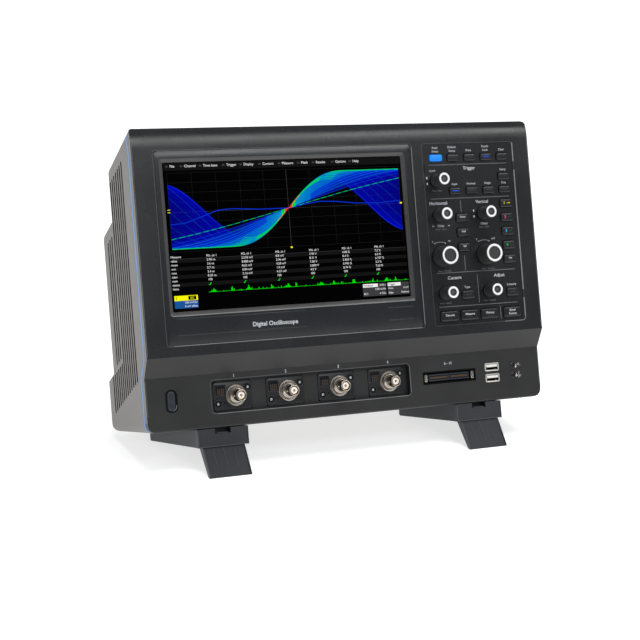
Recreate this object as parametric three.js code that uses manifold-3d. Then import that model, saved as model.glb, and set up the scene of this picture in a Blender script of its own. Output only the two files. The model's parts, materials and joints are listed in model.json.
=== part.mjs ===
// A bench oscilloscope on two turning feet, shown with the feet's flaps folded down so that it leans back.
// Every piece is drawn upright in the instrument's own frame, in millimetres: X to the right as the user
// faces it, Y into its depth from the upper front face, Z up from the underside of the case.
// The whole instrument is then leaned back until the flaps and the heels of the feet stand on Z = 0.
import * as THREE from "three";
import { mergeVertices } from "three/addons/utils/BufferGeometryUtils.js";
import Module from "manifold-3d";

// ---- driving dimensions ----

const HALF_WIDTH = 190; // case
const WALL = 3;
const FACE_BOTTOM = 62.5; // lower edge of the upper front face
const LOWER_FACE_Y = 11.5; // the lower front face stands back by this much
const BAND_BOTTOM = 46; // the sloped band joins the two faces
const ROLL_START = 238; // the front face starts to roll over to the top here
const TOP_AT_FRONT = 257.2; // height of the sloping top, carried forward to the front face
const TOP_FALL = 0.375; // fall of the top for each millimetre of depth
const UPPER_REAR_Y = 75;
const REAR_Y = 123;
const SHELF_FRONT_Z = 64.5; // the shelf where the case widens from the upper to the lower rear wall
const SHELF_REAR_Z = 47;
const EDGE_RADIUS = 5;
const CORNER_RADIUS = 9; // lower corners, seen from the front
const HEEL_RADIUS = 10; // lower rear edge
const LOBE_HALF_WIDTH = 185; // hump on the back
const LOBE_FRONT_Z = 193;
const LOBE_REAR_Z = 175.8;

const TRIM_WIDTH = 3.4;
const GAP = 0.3; // between pieces that touch

const SCREEN = { left: -163.3, right: 58.8, bottom: 99.6, top: 225.3 };
const SURROUND = { left: -171.4, right: 69.7, bottom: 71.3, top: 235.4 };
const PANEL = { left: 80.2, right: 173.2, bottom: 71.5, top: 235.5 };
const POCKET = { left: -132, right: 56.1, bottom: 12.3, top: 40.1 };
const SHEET_FRONT_Y = 0.4; // the surround and the control panel sit this far back
const SHEET_BACK_Y = 3;
const GLASS_Y = 1.5;

const VENT_FIRST_Y = 31; // side vents
const VENT_PITCH = 6;
const VENT_WIDTH = 3;
const VENT_COUNT = 13;
const VENT_UPPER_COUNT = 7; // the vents in front of the upper rear wall reach the top
const VENT_SLOPE = 0.37;
const VENT_CUT = 16; // how wide the cutter across a side wall is
const VENT_BOTTOM = 43.8; // ends of the vents, at the depth given with them
const VENT_UPPER_TOP = { y: 29, z: 231.5 };
const VENT_LOWER_TOP = { y: 72, z: 60.6 };
const LOBE_VENTS_Y = [92, 98.4, 104.8];
const LOBE_VENT_BOTTOM = { y: 92, z: 64.5 };
const LOBE_VENT_TOP = { y: 91, z: 173 };

const KEY_PROUD = 1.6;
const KEY_BACK_Y = 4;
const KEY_CLEARANCE = 0.35;
const SMALL_KEY = [12, 6.7];
const BLUE_KEY = [13, 6.3];
const TALL_KEY = [12.7, 7.8];
const WIDE_KEY = [17.8, 9.4];
const SWITCH_FRONT_Y = 5.2;
const SWITCH_SIDE = 5;
const ENCODER_SIDE = 12;
const SETUP_KEY_Z = 204;
const CURSOR_ROW_Z = 98;
const WIDE_KEYS_X = [95, 115.5, 136, 159.5];

const KNOB_PROUD = 16;
const KNOB_LIFT = 1; // between the panel and the back of a knob
const SMALL_KNOB_RADIUS = 6;
const LARGE_KNOB_RADIUS = 9.5;
const SHAFT_RADIUS = 3;
const SHAFT_FRONT_Y = -12;
const SHAFT_BACK_Y = 11;
const BOARD_FRONT_Y = 13.6;

const COLUMN = [93.5, 110.8, 127.8, 144.9, 161.7];
const MIDDLE_X = 115.6;
const CHANNEL_TOP_Z = 179.2;
const CHANNEL_PITCH = 12.75;
const MIDDLE_TOP_Z = 167.6;
const MIDDLE_PITCH = 13.3;
const SETUP_ROW_Z = 222.2;
const TRIGGER_ROW_Z = 192;
const BOTTOM_ROW_Z = 79.7;

const KEYS = [
  ["key_auto_setup", COLUMN[0], SETUP_ROW_Z, BLUE_KEY],
  ["key_default_setup", COLUMN[1], SETUP_ROW_Z, SMALL_KEY],
  ["key_print", COLUMN[2], SETUP_ROW_Z, SMALL_KEY],
  ["key_touch_lock", COLUMN[3], SETUP_ROW_Z, SMALL_KEY],
  ["key_clear", COLUMN[4], SETUP_ROW_Z, SMALL_KEY],
  ["key_trigger_setup", COLUMN[4], SETUP_KEY_Z, SMALL_KEY],
  ["key_trigger_auto", COLUMN[1], TRIGGER_ROW_Z, SMALL_KEY],
  ["key_trigger_normal", COLUMN[2], TRIGGER_ROW_Z, SMALL_KEY],
  ["key_trigger_single", COLUMN[3], TRIGGER_ROW_Z, SMALL_KEY],
  ["key_trigger_stop", COLUMN[4], TRIGGER_ROW_Z, SMALL_KEY],
  ["key_zoom", MIDDLE_X, MIDDLE_TOP_Z, TALL_KEY],
  ["key_roll", MIDDLE_X, MIDDLE_TOP_Z - MIDDLE_PITCH, TALL_KEY],
  ["key_reference", MIDDLE_X, MIDDLE_TOP_Z - 2 * MIDDLE_PITCH, TALL_KEY],
  ["key_channel_1", COLUMN[4], CHANNEL_TOP_Z, TALL_KEY],
  ["key_channel_2", COLUMN[4], CHANNEL_TOP_Z - CHANNEL_PITCH, TALL_KEY],
  ["key_channel_3", COLUMN[4], CHANNEL_TOP_Z - 2 * CHANNEL_PITCH, TALL_KEY],
  ["key_channel_4", COLUMN[4], CHANNEL_TOP_Z - 3 * CHANNEL_PITCH, TALL_KEY],
  ["key_digital", COLUMN[4], CHANNEL_TOP_Z - 4 * CHANNEL_PITCH, TALL_KEY],
  ["key_cursor_type", MIDDLE_X, CURSOR_ROW_Z, TALL_KEY],
  ["key_intensity", COLUMN[4], CURSOR_ROW_Z, TALL_KEY],
  ["key_decode", WIDE_KEYS_X[0], BOTTOM_ROW_Z, WIDE_KEY],
  ["key_measure", WIDE_KEYS_X[1], BOTTOM_ROW_Z, WIDE_KEY],
  ["key_history", WIDE_KEYS_X[2], BOTTOM_ROW_Z, WIDE_KEY],
  ["key_generator", WIDE_KEYS_X[3], BOTTOM_ROW_Z, WIDE_KEY],
];

const LEFT_KNOB_X = 92.4;
const RIGHT_KNOB_X = 137.4;
const KNOBS = [
  ["level", LEFT_KNOB_X, 201.9, SMALL_KNOB_RADIUS],
  ["delay", LEFT_KNOB_X, 170.9, SMALL_KNOB_RADIUS],
  ["offset", RIGHT_KNOB_X, 170.9, SMALL_KNOB_RADIUS],
  ["time_scale", LEFT_KNOB_X, 133.6, LARGE_KNOB_RADIUS],
  ["volt_scale", RIGHT_KNOB_X, 133.6, LARGE_KNOB_RADIUS],
  ["cursor", LEFT_KNOB_X, 100.5, SMALL_KNOB_RADIUS],
  ["adjust", RIGHT_KNOB_X, 100.5, SMALL_KNOB_RADIUS],
];

const BNC_FIRST_X = -108.4;
const BNC_PITCH = 48.7;
const BNC_Z = 26;
const MODULE_CENTRE_OFFSET = -2.8;
const MODULE_WIDTH = 35;
const MODULE_HEIGHT = 24.5;
const MODULE_FRONT_Y = 16.5;
const BNC_FRONT_Y = 2;
const BNC = { pin: 1.2, dielectric: 2.4, bore: 4.05, barrel: 4.8, flange: 7.6, lug: 1, lugReach: 5.7 };
const MODULE_CORNER = 2.5;
const MODULE_THICKNESS = 3;
const MODULE_DEPTH = 42;
const CONTACT_WELL = { x: -9.5, z: 5.5, width: 9, height: 8, depth: 1.2 }; // from the plate's centre
const MODULES = [0, 1, 2, 3];

const FOOT_X = 124;
const FOOT_FRONT_Y = 12;
const FOOT_REAR_Y = 113;
const FOOT_PIVOT_Y = 62.5;
const FOOT_DROP = 16; // from the case to the lower edge of the foot's front plate
const FOOT_HALF_WIDTH = 23;
const FOOT_HEEL_HALF_WIDTH = 37;
const HEEL_Y = 103;
const HEEL_DROP = 9.5;
const FLAP_WIDTH = 38.3;
const FLAP_TIP_DROP = 41.5;
const FLAP_ROOT = [13, -16.3]; // Y, Z where its front face comes out below the foot's front plate
const FLAP_PIVOT = [19.4, -11.7]; // Y, Z
const FLAP_KNUCKLE = 3.6;
const SWIVEL_RADIUS = 13;
const SWIVEL_HUB = [-4, 5.5]; // from and to, in Z
const HUB_CLEARANCE = 0.5;
const TOE_INSET = 0.4; // between the foot and the underside of the case
const FLAP_BAY = [
  [12.7, -30],
  [12.7, -FOOT_DROP],
  [14.6, -12.3],
  [14.6, -7.3],
  [26, -7.3],
  [59, -8.4],
  [59, -30],
];
const BAY_CLEARANCE = 0.6;
const PIN_RADIUS = 1.5;
const PIN_HOLE_RADIUS = 1.9;
const PIN_REACH = 2.4; // beyond each edge of the flap
const TOE_NOTCH = { halfWidth: 7, depth: 5 };
const GROOVES_X = [-9.5, 0, 9.5];
const GROOVE = { width: 1, length: 24, depth: 1.2, start: 17 };
const FLAP_HEEL = { back: 3.4, turn: 5.4, rise: 2.6 };

const LEAN = Math.atan2(FLAP_TIP_DROP - HEEL_DROP, HEEL_Y);

const POCKET_FLOOR_Y = 17; // floor between the input modules
const POCKET_BACK_Y = 19;
const BOSS_BACK_Y = 17.2;
const LINING = 1.6; // wall round the pocket
const POWER = { x: -167.6, z: 25.8, width: 8, height: 17.5 };
const POWER_BOSS = [15, 24];
const POWER_DISH = [11, 19.8];
const POWER_DISH_DEPTH = 2.4;
const USB = { x: 140.2, rows: [30.8, 20.8], opening: [14.6, 7.2], shell: [13.2, 5.7], mouth: [12.4, 4.9] };
const TERMINAL = { x: 162.9, rows: [30.3, 22], holeRadius: 3.4, wire: 1.6, halfSpan: 1.7, proud: 5 };
const LOGIC_PORT = { x: 96.2, z: 25.5, width: 53, height: 10.4 };
const IO_BOARD = { left: 66, right: 178, bottom: 7, top: 42, frontY: 26 };
const BOARD_THICKNESS = 1.6;

const GRIP = { halfWidth: 62, bottom: 198, top: 221, frontY: 45 };
const IO_PANEL = { left: -12, right: 152, bottom: 62, top: 98 };
const INLET = { x: 128, z: 80, width: 25, height: 17, depth: 17 };
const PIN = { width: 2, height: 4, spread: 7, earthLift: 3, otherLift: -1 };
const SOCKETS_X = [12, 36, 60];
const SOCKET = [15, 14];
const SOCKET_DEPTH = 16;

const FAN = { x: -96, z: 118, size: 80, frontY: 88, backY: 113, hubRadius: 16, blades: 7, bladePitch: 0.6 };
const FAN_SLOTS = 11;
const FAN_SLOT_WIDTH = 4;
const FAN_STRUT = 4;
const FAN_FLOOR = 3; // thickness of the motor mount and its struts

const MAIN_BOARD = { left: -170, right: 60, bottom: 66, top: 190, frontY: 46, backY: 48 };
const HEAT_SINK = { left: -120, right: -40, bottom: 96, top: 160, baseY: 52, finY: 66, fins: 9, fin: 2 };
const MEMORY = { x: -10, z: 110, pitch: 24, size: [20, 12], count: 3, proud: 3 };
const POWER_SUPPLY = { left: 72, right: 176, frontY: 48, backY: 112, bottom: 7.5, top: 45 };
const SUPPLY_VENT = { count: 7, pitch: 13, width: 6, margin: 8, depth: 5 };

const PALETTE = {
  charcoal: { color: 0x2d2f32, roughness: 0.62, metalness: 0 },
  navy: { color: 0x23272e, roughness: 0.45, metalness: 0 },
  glass: { color: 0x05060a, roughness: 0.12, metalness: 0 },
  housing: { color: 0x96948f, roughness: 0.6, metalness: 0 },
  trim: { color: 0x6ea5eb, roughness: 0.4, metalness: 0 },
  key: { color: 0x24272b, roughness: 0.55, metalness: 0 },
  blueKey: { color: 0x0096ff, roughness: 0.4, metalness: 0 },
  knob: { color: 0x1c1e21, roughness: 0.5, metalness: 0 },
  foot: { color: 0x33373d, roughness: 0.6, metalness: 0 },
  steel: { color: 0xb9b7b2, roughness: 0.3, metalness: 1 },
  nickel: { color: 0xcfcac0, roughness: 0.22, metalness: 1 },
  board: { color: 0x1f5b38, roughness: 0.5, metalness: 0 },
  black: { color: 0x141517, roughness: 0.5, metalness: 0 },
};

// ---- solids ----

const wasm = await Module();
wasm.setup();

// A closed geometry as a solid that can be joined and cut.
function solid(geometry) {
  geometry.deleteAttribute("normal");
  geometry.deleteAttribute("uv");
  const merged = mergeVertices(geometry, 1e-4);
  const vertProperties = new Float32Array(merged.attributes.position.array);
  const triVerts = new Uint32Array(merged.index.array);
  return new wasm.Manifold(new wasm.Mesh({ numProp: 3, vertProperties, triVerts }));
}

// A solid's surface as a geometry.
function surface(made) {
  const mesh = made.getMesh();
  const geometry = new THREE.BufferGeometry();
  geometry.setAttribute("position", new THREE.BufferAttribute(new Float32Array(mesh.vertProperties), 3));
  geometry.setIndex(new THREE.BufferAttribute(new Uint32Array(mesh.triVerts), 1));
  geometry.computeVertexNormals();
  return geometry;
}

function join(solids) {
  return solids.reduce((whole, next) => whole.add(next));
}

function cut(whole, tools) {
  return whole.subtract(join(tools));
}

// A block between two opposite corners.
function block([x0, y0, z0], [x1, y1, z1]) {
  const geometry = new THREE.BoxGeometry(x1 - x0, y1 - y0, z1 - z0);
  return solid(geometry.translate((x0 + x1) / 2, (y0 + y1) / 2, (z0 + z1) / 2));
}

// A block of a given width and height, centred on (x, z) and running from y0 to y1.
function bar(x, z, width, height, y0, y1) {
  return block([x - width / 2, y0, z - height / 2], [x + width / 2, y1, z + height / 2]);
}

// A closed outline through corners [u, v, cut]: a corner with a cut is rounded from that far away.
function outline(corners) {
  const points = corners.map(([u, v]) => new THREE.Vector2(u, v));
  const shape = new THREE.Shape();
  corners.forEach(([u, v, cutBack = 0], i) => {
    const towards = (next) => next.clone().sub(points[i]).setLength(cutBack).add(points[i]);
    const start = towards(points.at(i - 1));
    const end = towards(points[(i + 1) % points.length]);
    if (i === 0) shape.moveTo(start.x, start.y);
    else shape.lineTo(start.x, start.y);
    if (cutBack > 0) shape.quadraticCurveTo(u, v, end.x, end.y);
  });
  shape.closePath();
  return shape;
}

function roundedRectangle(left, right, bottom, top, radius) {
  return outline([
    [left, bottom, radius],
    [right, bottom, radius],
    [right, top, radius],
    [left, top, radius],
  ]);
}

const SIDE_VIEW = new THREE.Matrix4().makeBasis(
  new THREE.Vector3(0, 1, 0),
  new THREE.Vector3(0, 0, 1),
  new THREE.Vector3(1, 0, 0),
);
const FRONT_VIEW = new THREE.Matrix4().makeBasis(
  new THREE.Vector3(1, 0, 0),
  new THREE.Vector3(0, 0, 1),
  new THREE.Vector3(0, -1, 0),
);

// A side outline (Y, Z) carried from x0 to x1.
function prismAcross(shape, x0, x1, curveSegments = 4) {
  const geometry = new THREE.ExtrudeGeometry(shape, { depth: x1 - x0, bevelEnabled: false, curveSegments });
  return solid(geometry.applyMatrix4(SIDE_VIEW).translate(x0, 0, 0));
}

// The same, centred on X = 0, with its two end faces rounded off.
function roundedPrismAcross(shape, halfWidth, radius) {
  const geometry = new THREE.ExtrudeGeometry(shape, {
    depth: 2 * (halfWidth - radius),
    bevelThickness: radius,
    bevelSize: radius,
    bevelOffset: -radius,
    bevelSegments: 3,
    curveSegments: 4,
  });
  return solid(geometry.applyMatrix4(SIDE_VIEW).translate(radius - halfWidth, 0, 0));
}

// A front outline (X, Z) carried from y0 back to y1.
function prismInto(shape, y0, y1, curveSegments = 3) {
  const geometry = new THREE.ExtrudeGeometry(shape, { depth: y1 - y0, bevelEnabled: false, curveSegments });
  return solid(geometry.applyMatrix4(FRONT_VIEW).translate(0, y1, 0));
}

function windowThrough({ left, right, bottom, top }, radius, grow = 0, y0 = -20, y1 = 30) {
  return prismInto(roundedRectangle(left - grow, right + grow, bottom - grow, top + grow, radius), y0, y1);
}

// A turned solid about the Y direction through (x, z). The profile is [radius, y] from front to back.
function turned(profile, x, z, sides) {
  const points = profile.map(([radius, y]) => new THREE.Vector2(radius, y));
  return solid(new THREE.LatheGeometry(points, sides).translate(x, 0, z));
}

function rod(radius, x, z, y0, y1, sides = 16) {
  return turned([[0, y0], [radius, y0], [radius, y1], [0, y1]], x, z, sides);
}

// A rod along X through (y, z).
function crossRod(radius, y, z, x0, x1, sides = 16) {
  const geometry = new THREE.CylinderGeometry(radius, radius, x1 - x0, sides);
  return solid(geometry.rotateZ(-Math.PI / 2).translate((x0 + x1) / 2, y, z));
}

// A rod along Z through (x, y).
function uprightRod(radius, x, y, z0, z1, sides = 24) {
  const geometry = new THREE.CylinderGeometry(radius, radius, z1 - z0, sides);
  return solid(geometry.rotateX(Math.PI / 2).translate(x, y, (z0 + z1) / 2));
}

// ---- the instrument ----

const instrument = new THREE.Group();

function piece(name, made, look) {
  const mesh = new THREE.Mesh(surface(made), new THREE.MeshStandardMaterial(PALETTE[look]));
  mesh.name = name;
  instrument.add(mesh);
}

// ---- the case ----

const topHeight = (y) => TOP_AT_FRONT - TOP_FALL * y;
const TOP_SLANT = Math.hypot(1, TOP_FALL);
const SHELF_FALL = (SHELF_FRONT_Z - SHELF_REAR_Z) / (REAR_Y - UPPER_REAR_Y);
const BAND_RUN = FACE_BOTTOM - BAND_BOTTOM;
const BAND_LIFT = (Math.hypot(BAND_RUN, LOWER_FACE_Y) - BAND_RUN) / LOWER_FACE_Y;
const LOBE_FALL = (LOBE_FRONT_Z - LOBE_REAR_Z) / (REAR_Y - UPPER_REAR_Y);

// The case's side outline, drawn in by a wall's thickness.
function caseOutline(wall) {
  const rise = BAND_LIFT * wall;
  const top = TOP_SLANT * wall;
  const shelf = Math.hypot(1, SHELF_FALL) * wall;
  const shape = new THREE.Shape();
  shape.moveTo(LOWER_FACE_Y + wall, wall + 2);
  shape.lineTo(LOWER_FACE_Y + wall, BAND_BOTTOM + rise);
  shape.lineTo(wall, FACE_BOTTOM + rise);
  shape.lineTo(wall, ROLL_START);
  const rollEnd = wall + 8;
  const rollTop = topHeight(rollEnd) - top;
  shape.bezierCurveTo(wall, ROLL_START + 11, wall + 2.5, topHeight(wall) - top, rollEnd, rollTop);
  shape.lineTo(UPPER_REAR_Y - wall - 4, topHeight(UPPER_REAR_Y - wall - 4) - top);
  const upperRear = UPPER_REAR_Y - wall;
  shape.quadraticCurveTo(upperRear, topHeight(upperRear) - top, upperRear, 224);
  shape.lineTo(UPPER_REAR_Y - wall, SHELF_FRONT_Z + SHELF_FALL * wall - shelf);
  shape.lineTo(REAR_Y - wall, SHELF_REAR_Z + SHELF_FALL * wall - shelf);
  shape.lineTo(REAR_Y - wall, wall + HEEL_RADIUS);
  shape.quadraticCurveTo(REAR_Y - wall, wall, REAR_Y - wall - HEEL_RADIUS, wall);
  shape.lineTo(LOWER_FACE_Y + wall + 2, wall);
  shape.quadraticCurveTo(LOWER_FACE_Y + wall, wall, LOWER_FACE_Y + wall, wall + 2);
  return shape;
}

// The hump's side outline, carried forward into the case so that the two join.
function lobeOutline(wall, frontY) {
  const top = Math.hypot(1, LOBE_FALL) * wall;
  const height = (y) => LOBE_FRONT_Z - LOBE_FALL * (y - UPPER_REAR_Y) - top;
  return outline([
    [frontY, 30 + wall],
    [REAR_Y - wall, 30 + wall],
    [REAR_Y - wall, height(REAR_Y - wall), 6],
    [frontY, height(frontY)],
  ]);
}

const AHEAD = -40; // well in front of the case
const BEHIND = 20; // behind the front bezel's walls
const ABOVE = 300;
const sleeve = roundedPrismAcross(
  outline([
    [AHEAD, 0],
    [REAR_Y, 0, HEEL_RADIUS],
    [REAR_Y, SHELF_REAR_Z],
    [UPPER_REAR_Y, SHELF_FRONT_Z],
    [UPPER_REAR_Y, topHeight(UPPER_REAR_Y), 4],
    [AHEAD, topHeight(AHEAD)],
  ]),
  HALF_WIDTH,
  EDGE_RADIUS,
);
const frontOutline = prismInto(
  outline([
    [-HALF_WIDTH, 0, CORNER_RADIUS],
    [HALF_WIDTH, 0, CORNER_RADIUS],
    [HALF_WIDTH, ABOVE],
    [-HALF_WIDTH, ABOVE],
  ]),
  AHEAD,
  2 * REAR_Y,
  5,
);
const caseOuter = prismAcross(caseOutline(0), -HALF_WIDTH, HALF_WIDTH, 6)
  .intersect(sleeve)
  .intersect(frontOutline)
  .add(roundedPrismAcross(lobeOutline(0, UPPER_REAR_Y - 20), LOBE_HALF_WIDTH, EDGE_RADIUS));

const innerHalfWidth = HALF_WIDTH - WALL - 1;
const caseInner = prismAcross(caseOutline(WALL), -innerHalfWidth, innerHalfWidth, 3).add(
  prismAcross(lobeOutline(WALL, UPPER_REAR_Y - 20), WALL - LOBE_HALF_WIDTH, LOBE_HALF_WIDTH - WALL, 3),
);

// Everything in front of the seam between the bezel and the housing, moved back by an offset.
function aheadOfSeam(offset) {
  const side = outline([
    [AHEAD - 20, -10],
    [20.5 + offset, -10],
    [20.5 + offset, 46.5, 3],
    [8.4 + offset, 62.5, 3],
    [8.4 + offset, ROLL_START, 4],
    [18 + offset, 264],
    [AHEAD - 20, 290],
  ]);
  return prismAcross(side, -250, 250);
}

const trimHalf = TRIM_WIDTH / 2;
const bezelShell = caseOuter.intersect(aheadOfSeam(-trimHalf - GAP)).subtract(caseInner);
const trimRing = caseOuter
  .intersect(aheadOfSeam(trimHalf))
  .subtract(aheadOfSeam(-trimHalf))
  .subtract(caseInner);
const housingOuter = caseOuter.subtract(aheadOfSeam(trimHalf + GAP));

// ---- front bezel ----

function slotOutline(x, z, width, height) {
  return roundedRectangle(x - width / 2, x + width / 2, z - height / 2, z + height / 2, width * 0.49);
}

function moduleCentre(index) {
  return BNC_FIRST_X + BNC_PITCH * index + MODULE_CENTRE_OFFSET;
}

function moduleWindow(index) {
  const centre = moduleCentre(index);
  const plate = {
    left: centre - MODULE_WIDTH / 2,
    right: centre + MODULE_WIDTH / 2,
    bottom: BNC_Z - MODULE_HEIGHT / 2,
    top: BNC_Z + MODULE_HEIGHT / 2,
  };
  return windowThrough(plate, MODULE_CORNER, GAP);
}

function frontBezel() {
  const behindFace = LOWER_FACE_Y + 1;
  const pocketBox = windowThrough(POCKET, 3, LINING, behindFace, POCKET_BACK_Y);
  const powerBoss = prismInto(slotOutline(POWER.x, POWER.z, ...POWER_BOSS), behindFace, BOSS_BACK_Y);
  const dishFloor = LOWER_FACE_Y + POWER_DISH_DEPTH;
  const powerDish = prismInto(slotOutline(POWER.x, POWER.z, ...POWER_DISH), 0, dishFloor, 4);
  const powerOpening = slotOutline(POWER.x, POWER.z, POWER.width + 0.8, POWER.height + 0.8);
  const usbHoles = USB.rows.map((z) => bar(USB.x, z, ...USB.opening, 0, BEHIND));
  const terminalHoles = TERMINAL.rows.map((z) => rod(TERMINAL.holeRadius, TERMINAL.x, z, 0, BEHIND, 12));
  return cut(join([bezelShell, pocketBox, powerBoss]), [
    windowThrough(SURROUND, 4, GAP),
    windowThrough(PANEL, 3, GAP),
    windowThrough(POCKET, 2.5, 0, 0, POCKET_FLOOR_Y),
    ...MODULES.map(moduleWindow),
    powerDish,
    prismInto(powerOpening, 0, BEHIND, 4),
    ...usbHoles,
    ...terminalHoles,
    bar(LOGIC_PORT.x, LOGIC_PORT.z, LOGIC_PORT.width + 1, LOGIC_PORT.height + 1, 0, BEHIND),
  ]);
}

piece("front_bezel", frontBezel(), "charcoal");
piece("trim_strip", trimRing, "trim");

// ---- rear housing ----

// The vents' ends follow lines that fall towards the back.
const onSlope = ({ y, z }, atY) => z - VENT_SLOPE * (atY - y);

function sideVents() {
  const pair = (y, bottom, top, halfWidth) => {
    const [front, back] = [y - VENT_WIDTH / 2, y + VENT_WIDTH / 2];
    return [-1, 1].map((side) =>
      bar(side * halfWidth, (bottom + top) / 2, VENT_CUT, top - bottom, front, back),
    );
  };
  const caseVents = Array.from({ length: VENT_COUNT }, (_, i) => {
    const y = VENT_FIRST_Y + VENT_PITCH * i;
    const bottom = onSlope({ y: VENT_FIRST_Y, z: VENT_BOTTOM }, y);
    const top = onSlope(i < VENT_UPPER_COUNT ? VENT_UPPER_TOP : VENT_LOWER_TOP, y);
    return pair(y, bottom, top, HALF_WIDTH);
  });
  const lobeVents = LOBE_VENTS_Y.map((y) =>
    pair(y, onSlope(LOBE_VENT_BOTTOM, y), onSlope(LOBE_VENT_TOP, y), LOBE_HALF_WIDTH),
  );
  return [...caseVents, ...lobeVents].flat();
}

function fanVents() {
  const pitch = FAN.size / FAN_SLOTS;
  return Array.from({ length: FAN_SLOTS }, (_, i) => {
    const across = pitch * (i + 0.5) - FAN.size / 2;
    const reach = Math.sqrt(FAN.size ** 2 / 4 - across ** 2) - 1;
    return bar(FAN.x + across, FAN.z, FAN_SLOT_WIDTH, 2 * reach, REAR_Y - 10, REAR_Y + 10);
  });
}

function rearHousing() {
  const grip = { left: -GRIP.halfWidth, right: GRIP.halfWidth, bottom: GRIP.bottom, top: GRIP.top };
  const gripPocket = windowThrough(grip, 6, 0, GRIP.frontY, 90);
  const gripKeepOut = windowThrough(grip, 7, WALL, GRIP.frontY - WALL, 90);
  const swivelHoles = [-1, 1].map((side) =>
    uprightRod(SWIVEL_RADIUS + HUB_CLEARANCE, side * FOOT_X, FOOT_PIVOT_Y, -5, 10),
  );
  return cut(housingOuter, [
    caseInner.subtract(gripKeepOut),
    gripPocket,
    windowThrough(IO_PANEL, 2, GAP, REAR_Y - 10, REAR_Y + 10),
    ...sideVents(),
    ...fanVents(),
    ...swivelHoles,
  ]);
}

piece("rear_housing", rearHousing(), "housing");

// ---- display ----

function displaySurround() {
  const plate = windowThrough(SURROUND, 4, 0, SHEET_FRONT_Y, SHEET_BACK_Y);
  return plate.subtract(windowThrough(SCREEN, 1.5));
}

function touchDisplay() {
  const glass = windowThrough(SCREEN, 1.5, -GAP, GLASS_Y, SHEET_BACK_Y + 1);
  const lcdModule = windowThrough(SCREEN, 2, 6, SHEET_BACK_Y + GAP, 13);
  return glass.add(lcdModule);
}

piece("display_surround", displaySurround(), "navy");
piece("touch_display", touchDisplay(), "glass");

// ---- control panel, keys and knobs ----

function keyOutline(x, z, [width, height], grow) {
  const halfWidth = width / 2 + grow;
  const halfHeight = height / 2 + grow;
  return roundedRectangle(x - halfWidth, x + halfWidth, z - halfHeight, z + halfHeight, 1.6 + grow);
}

function controlPanel() {
  const plate = windowThrough(PANEL, 3, 0, SHEET_FRONT_Y, SHEET_BACK_Y);
  const keyHoles = KEYS.map(([, x, z, size]) => prismInto(keyOutline(x, z, size, KEY_CLEARANCE), -5, 8, 2));
  const shaftHoles = KNOBS.map(([, x, z]) => rod(SHAFT_RADIUS + 0.6, x, z, -5, 8, 12));
  return cut(plate, [...keyHoles, ...shaftHoles]);
}

// The board behind the panel, with a switch under each key and an encoder behind each knob.
function controlBoard() {
  const margin = 2;
  const board = block(
    [PANEL.left + margin, BOARD_FRONT_Y, PANEL.bottom + margin],
    [PANEL.right - margin, BOARD_FRONT_Y + BOARD_THICKNESS, PANEL.top - margin],
  );
  const into = BOARD_FRONT_Y + BOARD_THICKNESS / 2;
  const onBoard = ([, x, z], side) => bar(x, z, side, side, SWITCH_FRONT_Y, into);
  const switches = KEYS.map((key) => onBoard(key, SWITCH_SIDE));
  const encoders = KNOBS.map((turning) => onBoard(turning, ENCODER_SIDE));
  const bores = KNOBS.map(([, x, z]) => rod(SHAFT_RADIUS + 0.4, x, z, 0, BOARD_FRONT_Y - 0.6, 12));
  return cut(join([board, ...switches, ...encoders]), bores);
}

function knob(x, z, radius) {
  const bore = SHAFT_RADIUS + 0.35;
  const front = -KNOB_PROUD;
  const back = -KNOB_LIFT + SHEET_FRONT_Y;
  return turned(
    [
      [0, front + 1.2],
      [radius * 0.62, front + 1.2],
      [radius * 0.68, front],
      [radius * 0.82, front],
      [radius * 0.87, front + 1.2],
      [radius * 0.92, back - 5.2],
      [radius, back - 4.4],
      [radius, back],
      [bore, back],
      [bore, SHAFT_FRONT_Y - 0.4],
      [0, SHAFT_FRONT_Y - 0.4],
    ],
    x,
    z,
    radius === LARGE_KNOB_RADIUS ? 24 : 18,
  );
}

piece("control_panel", controlPanel(), "navy");
piece("control_board", controlBoard(), "board");
for (const [name, x, z, size] of KEYS) {
  const look = size === BLUE_KEY ? "blueKey" : "key";
  piece(name, prismInto(keyOutline(x, z, size, 0), SHEET_FRONT_Y - KEY_PROUD, KEY_BACK_Y, 2), look);
}
for (const [name, x, z, radius] of KNOBS) {
  piece(`${name}_knob`, knob(x, z, radius), "knob");
  piece(`${name}_encoder_shaft`, rod(SHAFT_RADIUS, x, z, SHAFT_FRONT_Y, SHAFT_BACK_Y, 12), "steel");
}

const powerCap = slotOutline(POWER.x, POWER.z, POWER.width, POWER.height);
piece("power_button", prismInto(powerCap, LOWER_FACE_Y + 0.6, BOSS_BACK_Y + 1.5, 4), "key");

// ---- input modules and front connectors ----

function bayonetConnector(x) {
  const boreEnd = BNC_FRONT_Y + 9;
  const tip = BNC_FRONT_Y + 1.6; // of the pin and the insulator round it
  const shell = turned(
    [
      [0, boreEnd],
      [BNC.pin, boreEnd],
      [BNC.pin, tip],
      [BNC.dielectric, tip],
      [BNC.dielectric, boreEnd + 0.5],
      [BNC.bore, boreEnd + 0.5],
      [BNC.bore, BNC_FRONT_Y],
      [BNC.barrel, BNC_FRONT_Y],
      [BNC.barrel, MODULE_FRONT_Y - 2.6],
      [BNC.flange, MODULE_FRONT_Y - 2.2],
      [BNC.flange, MODULE_FRONT_Y + 1],
      [0, MODULE_FRONT_Y + 1],
    ],
    x,
    BNC_Z,
    20,
  );
  const lugs = crossRod(BNC.lug, BNC_FRONT_Y + 4.6, BNC_Z, x - BNC.lugReach, x + BNC.lugReach, 8);
  const keepBoreClear = rod(BNC.bore + 0.35, x, BNC_Z, BNC_FRONT_Y - 1, boreEnd - 1, 20);
  return shell.add(lugs.subtract(keepBoreClear));
}

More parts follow.
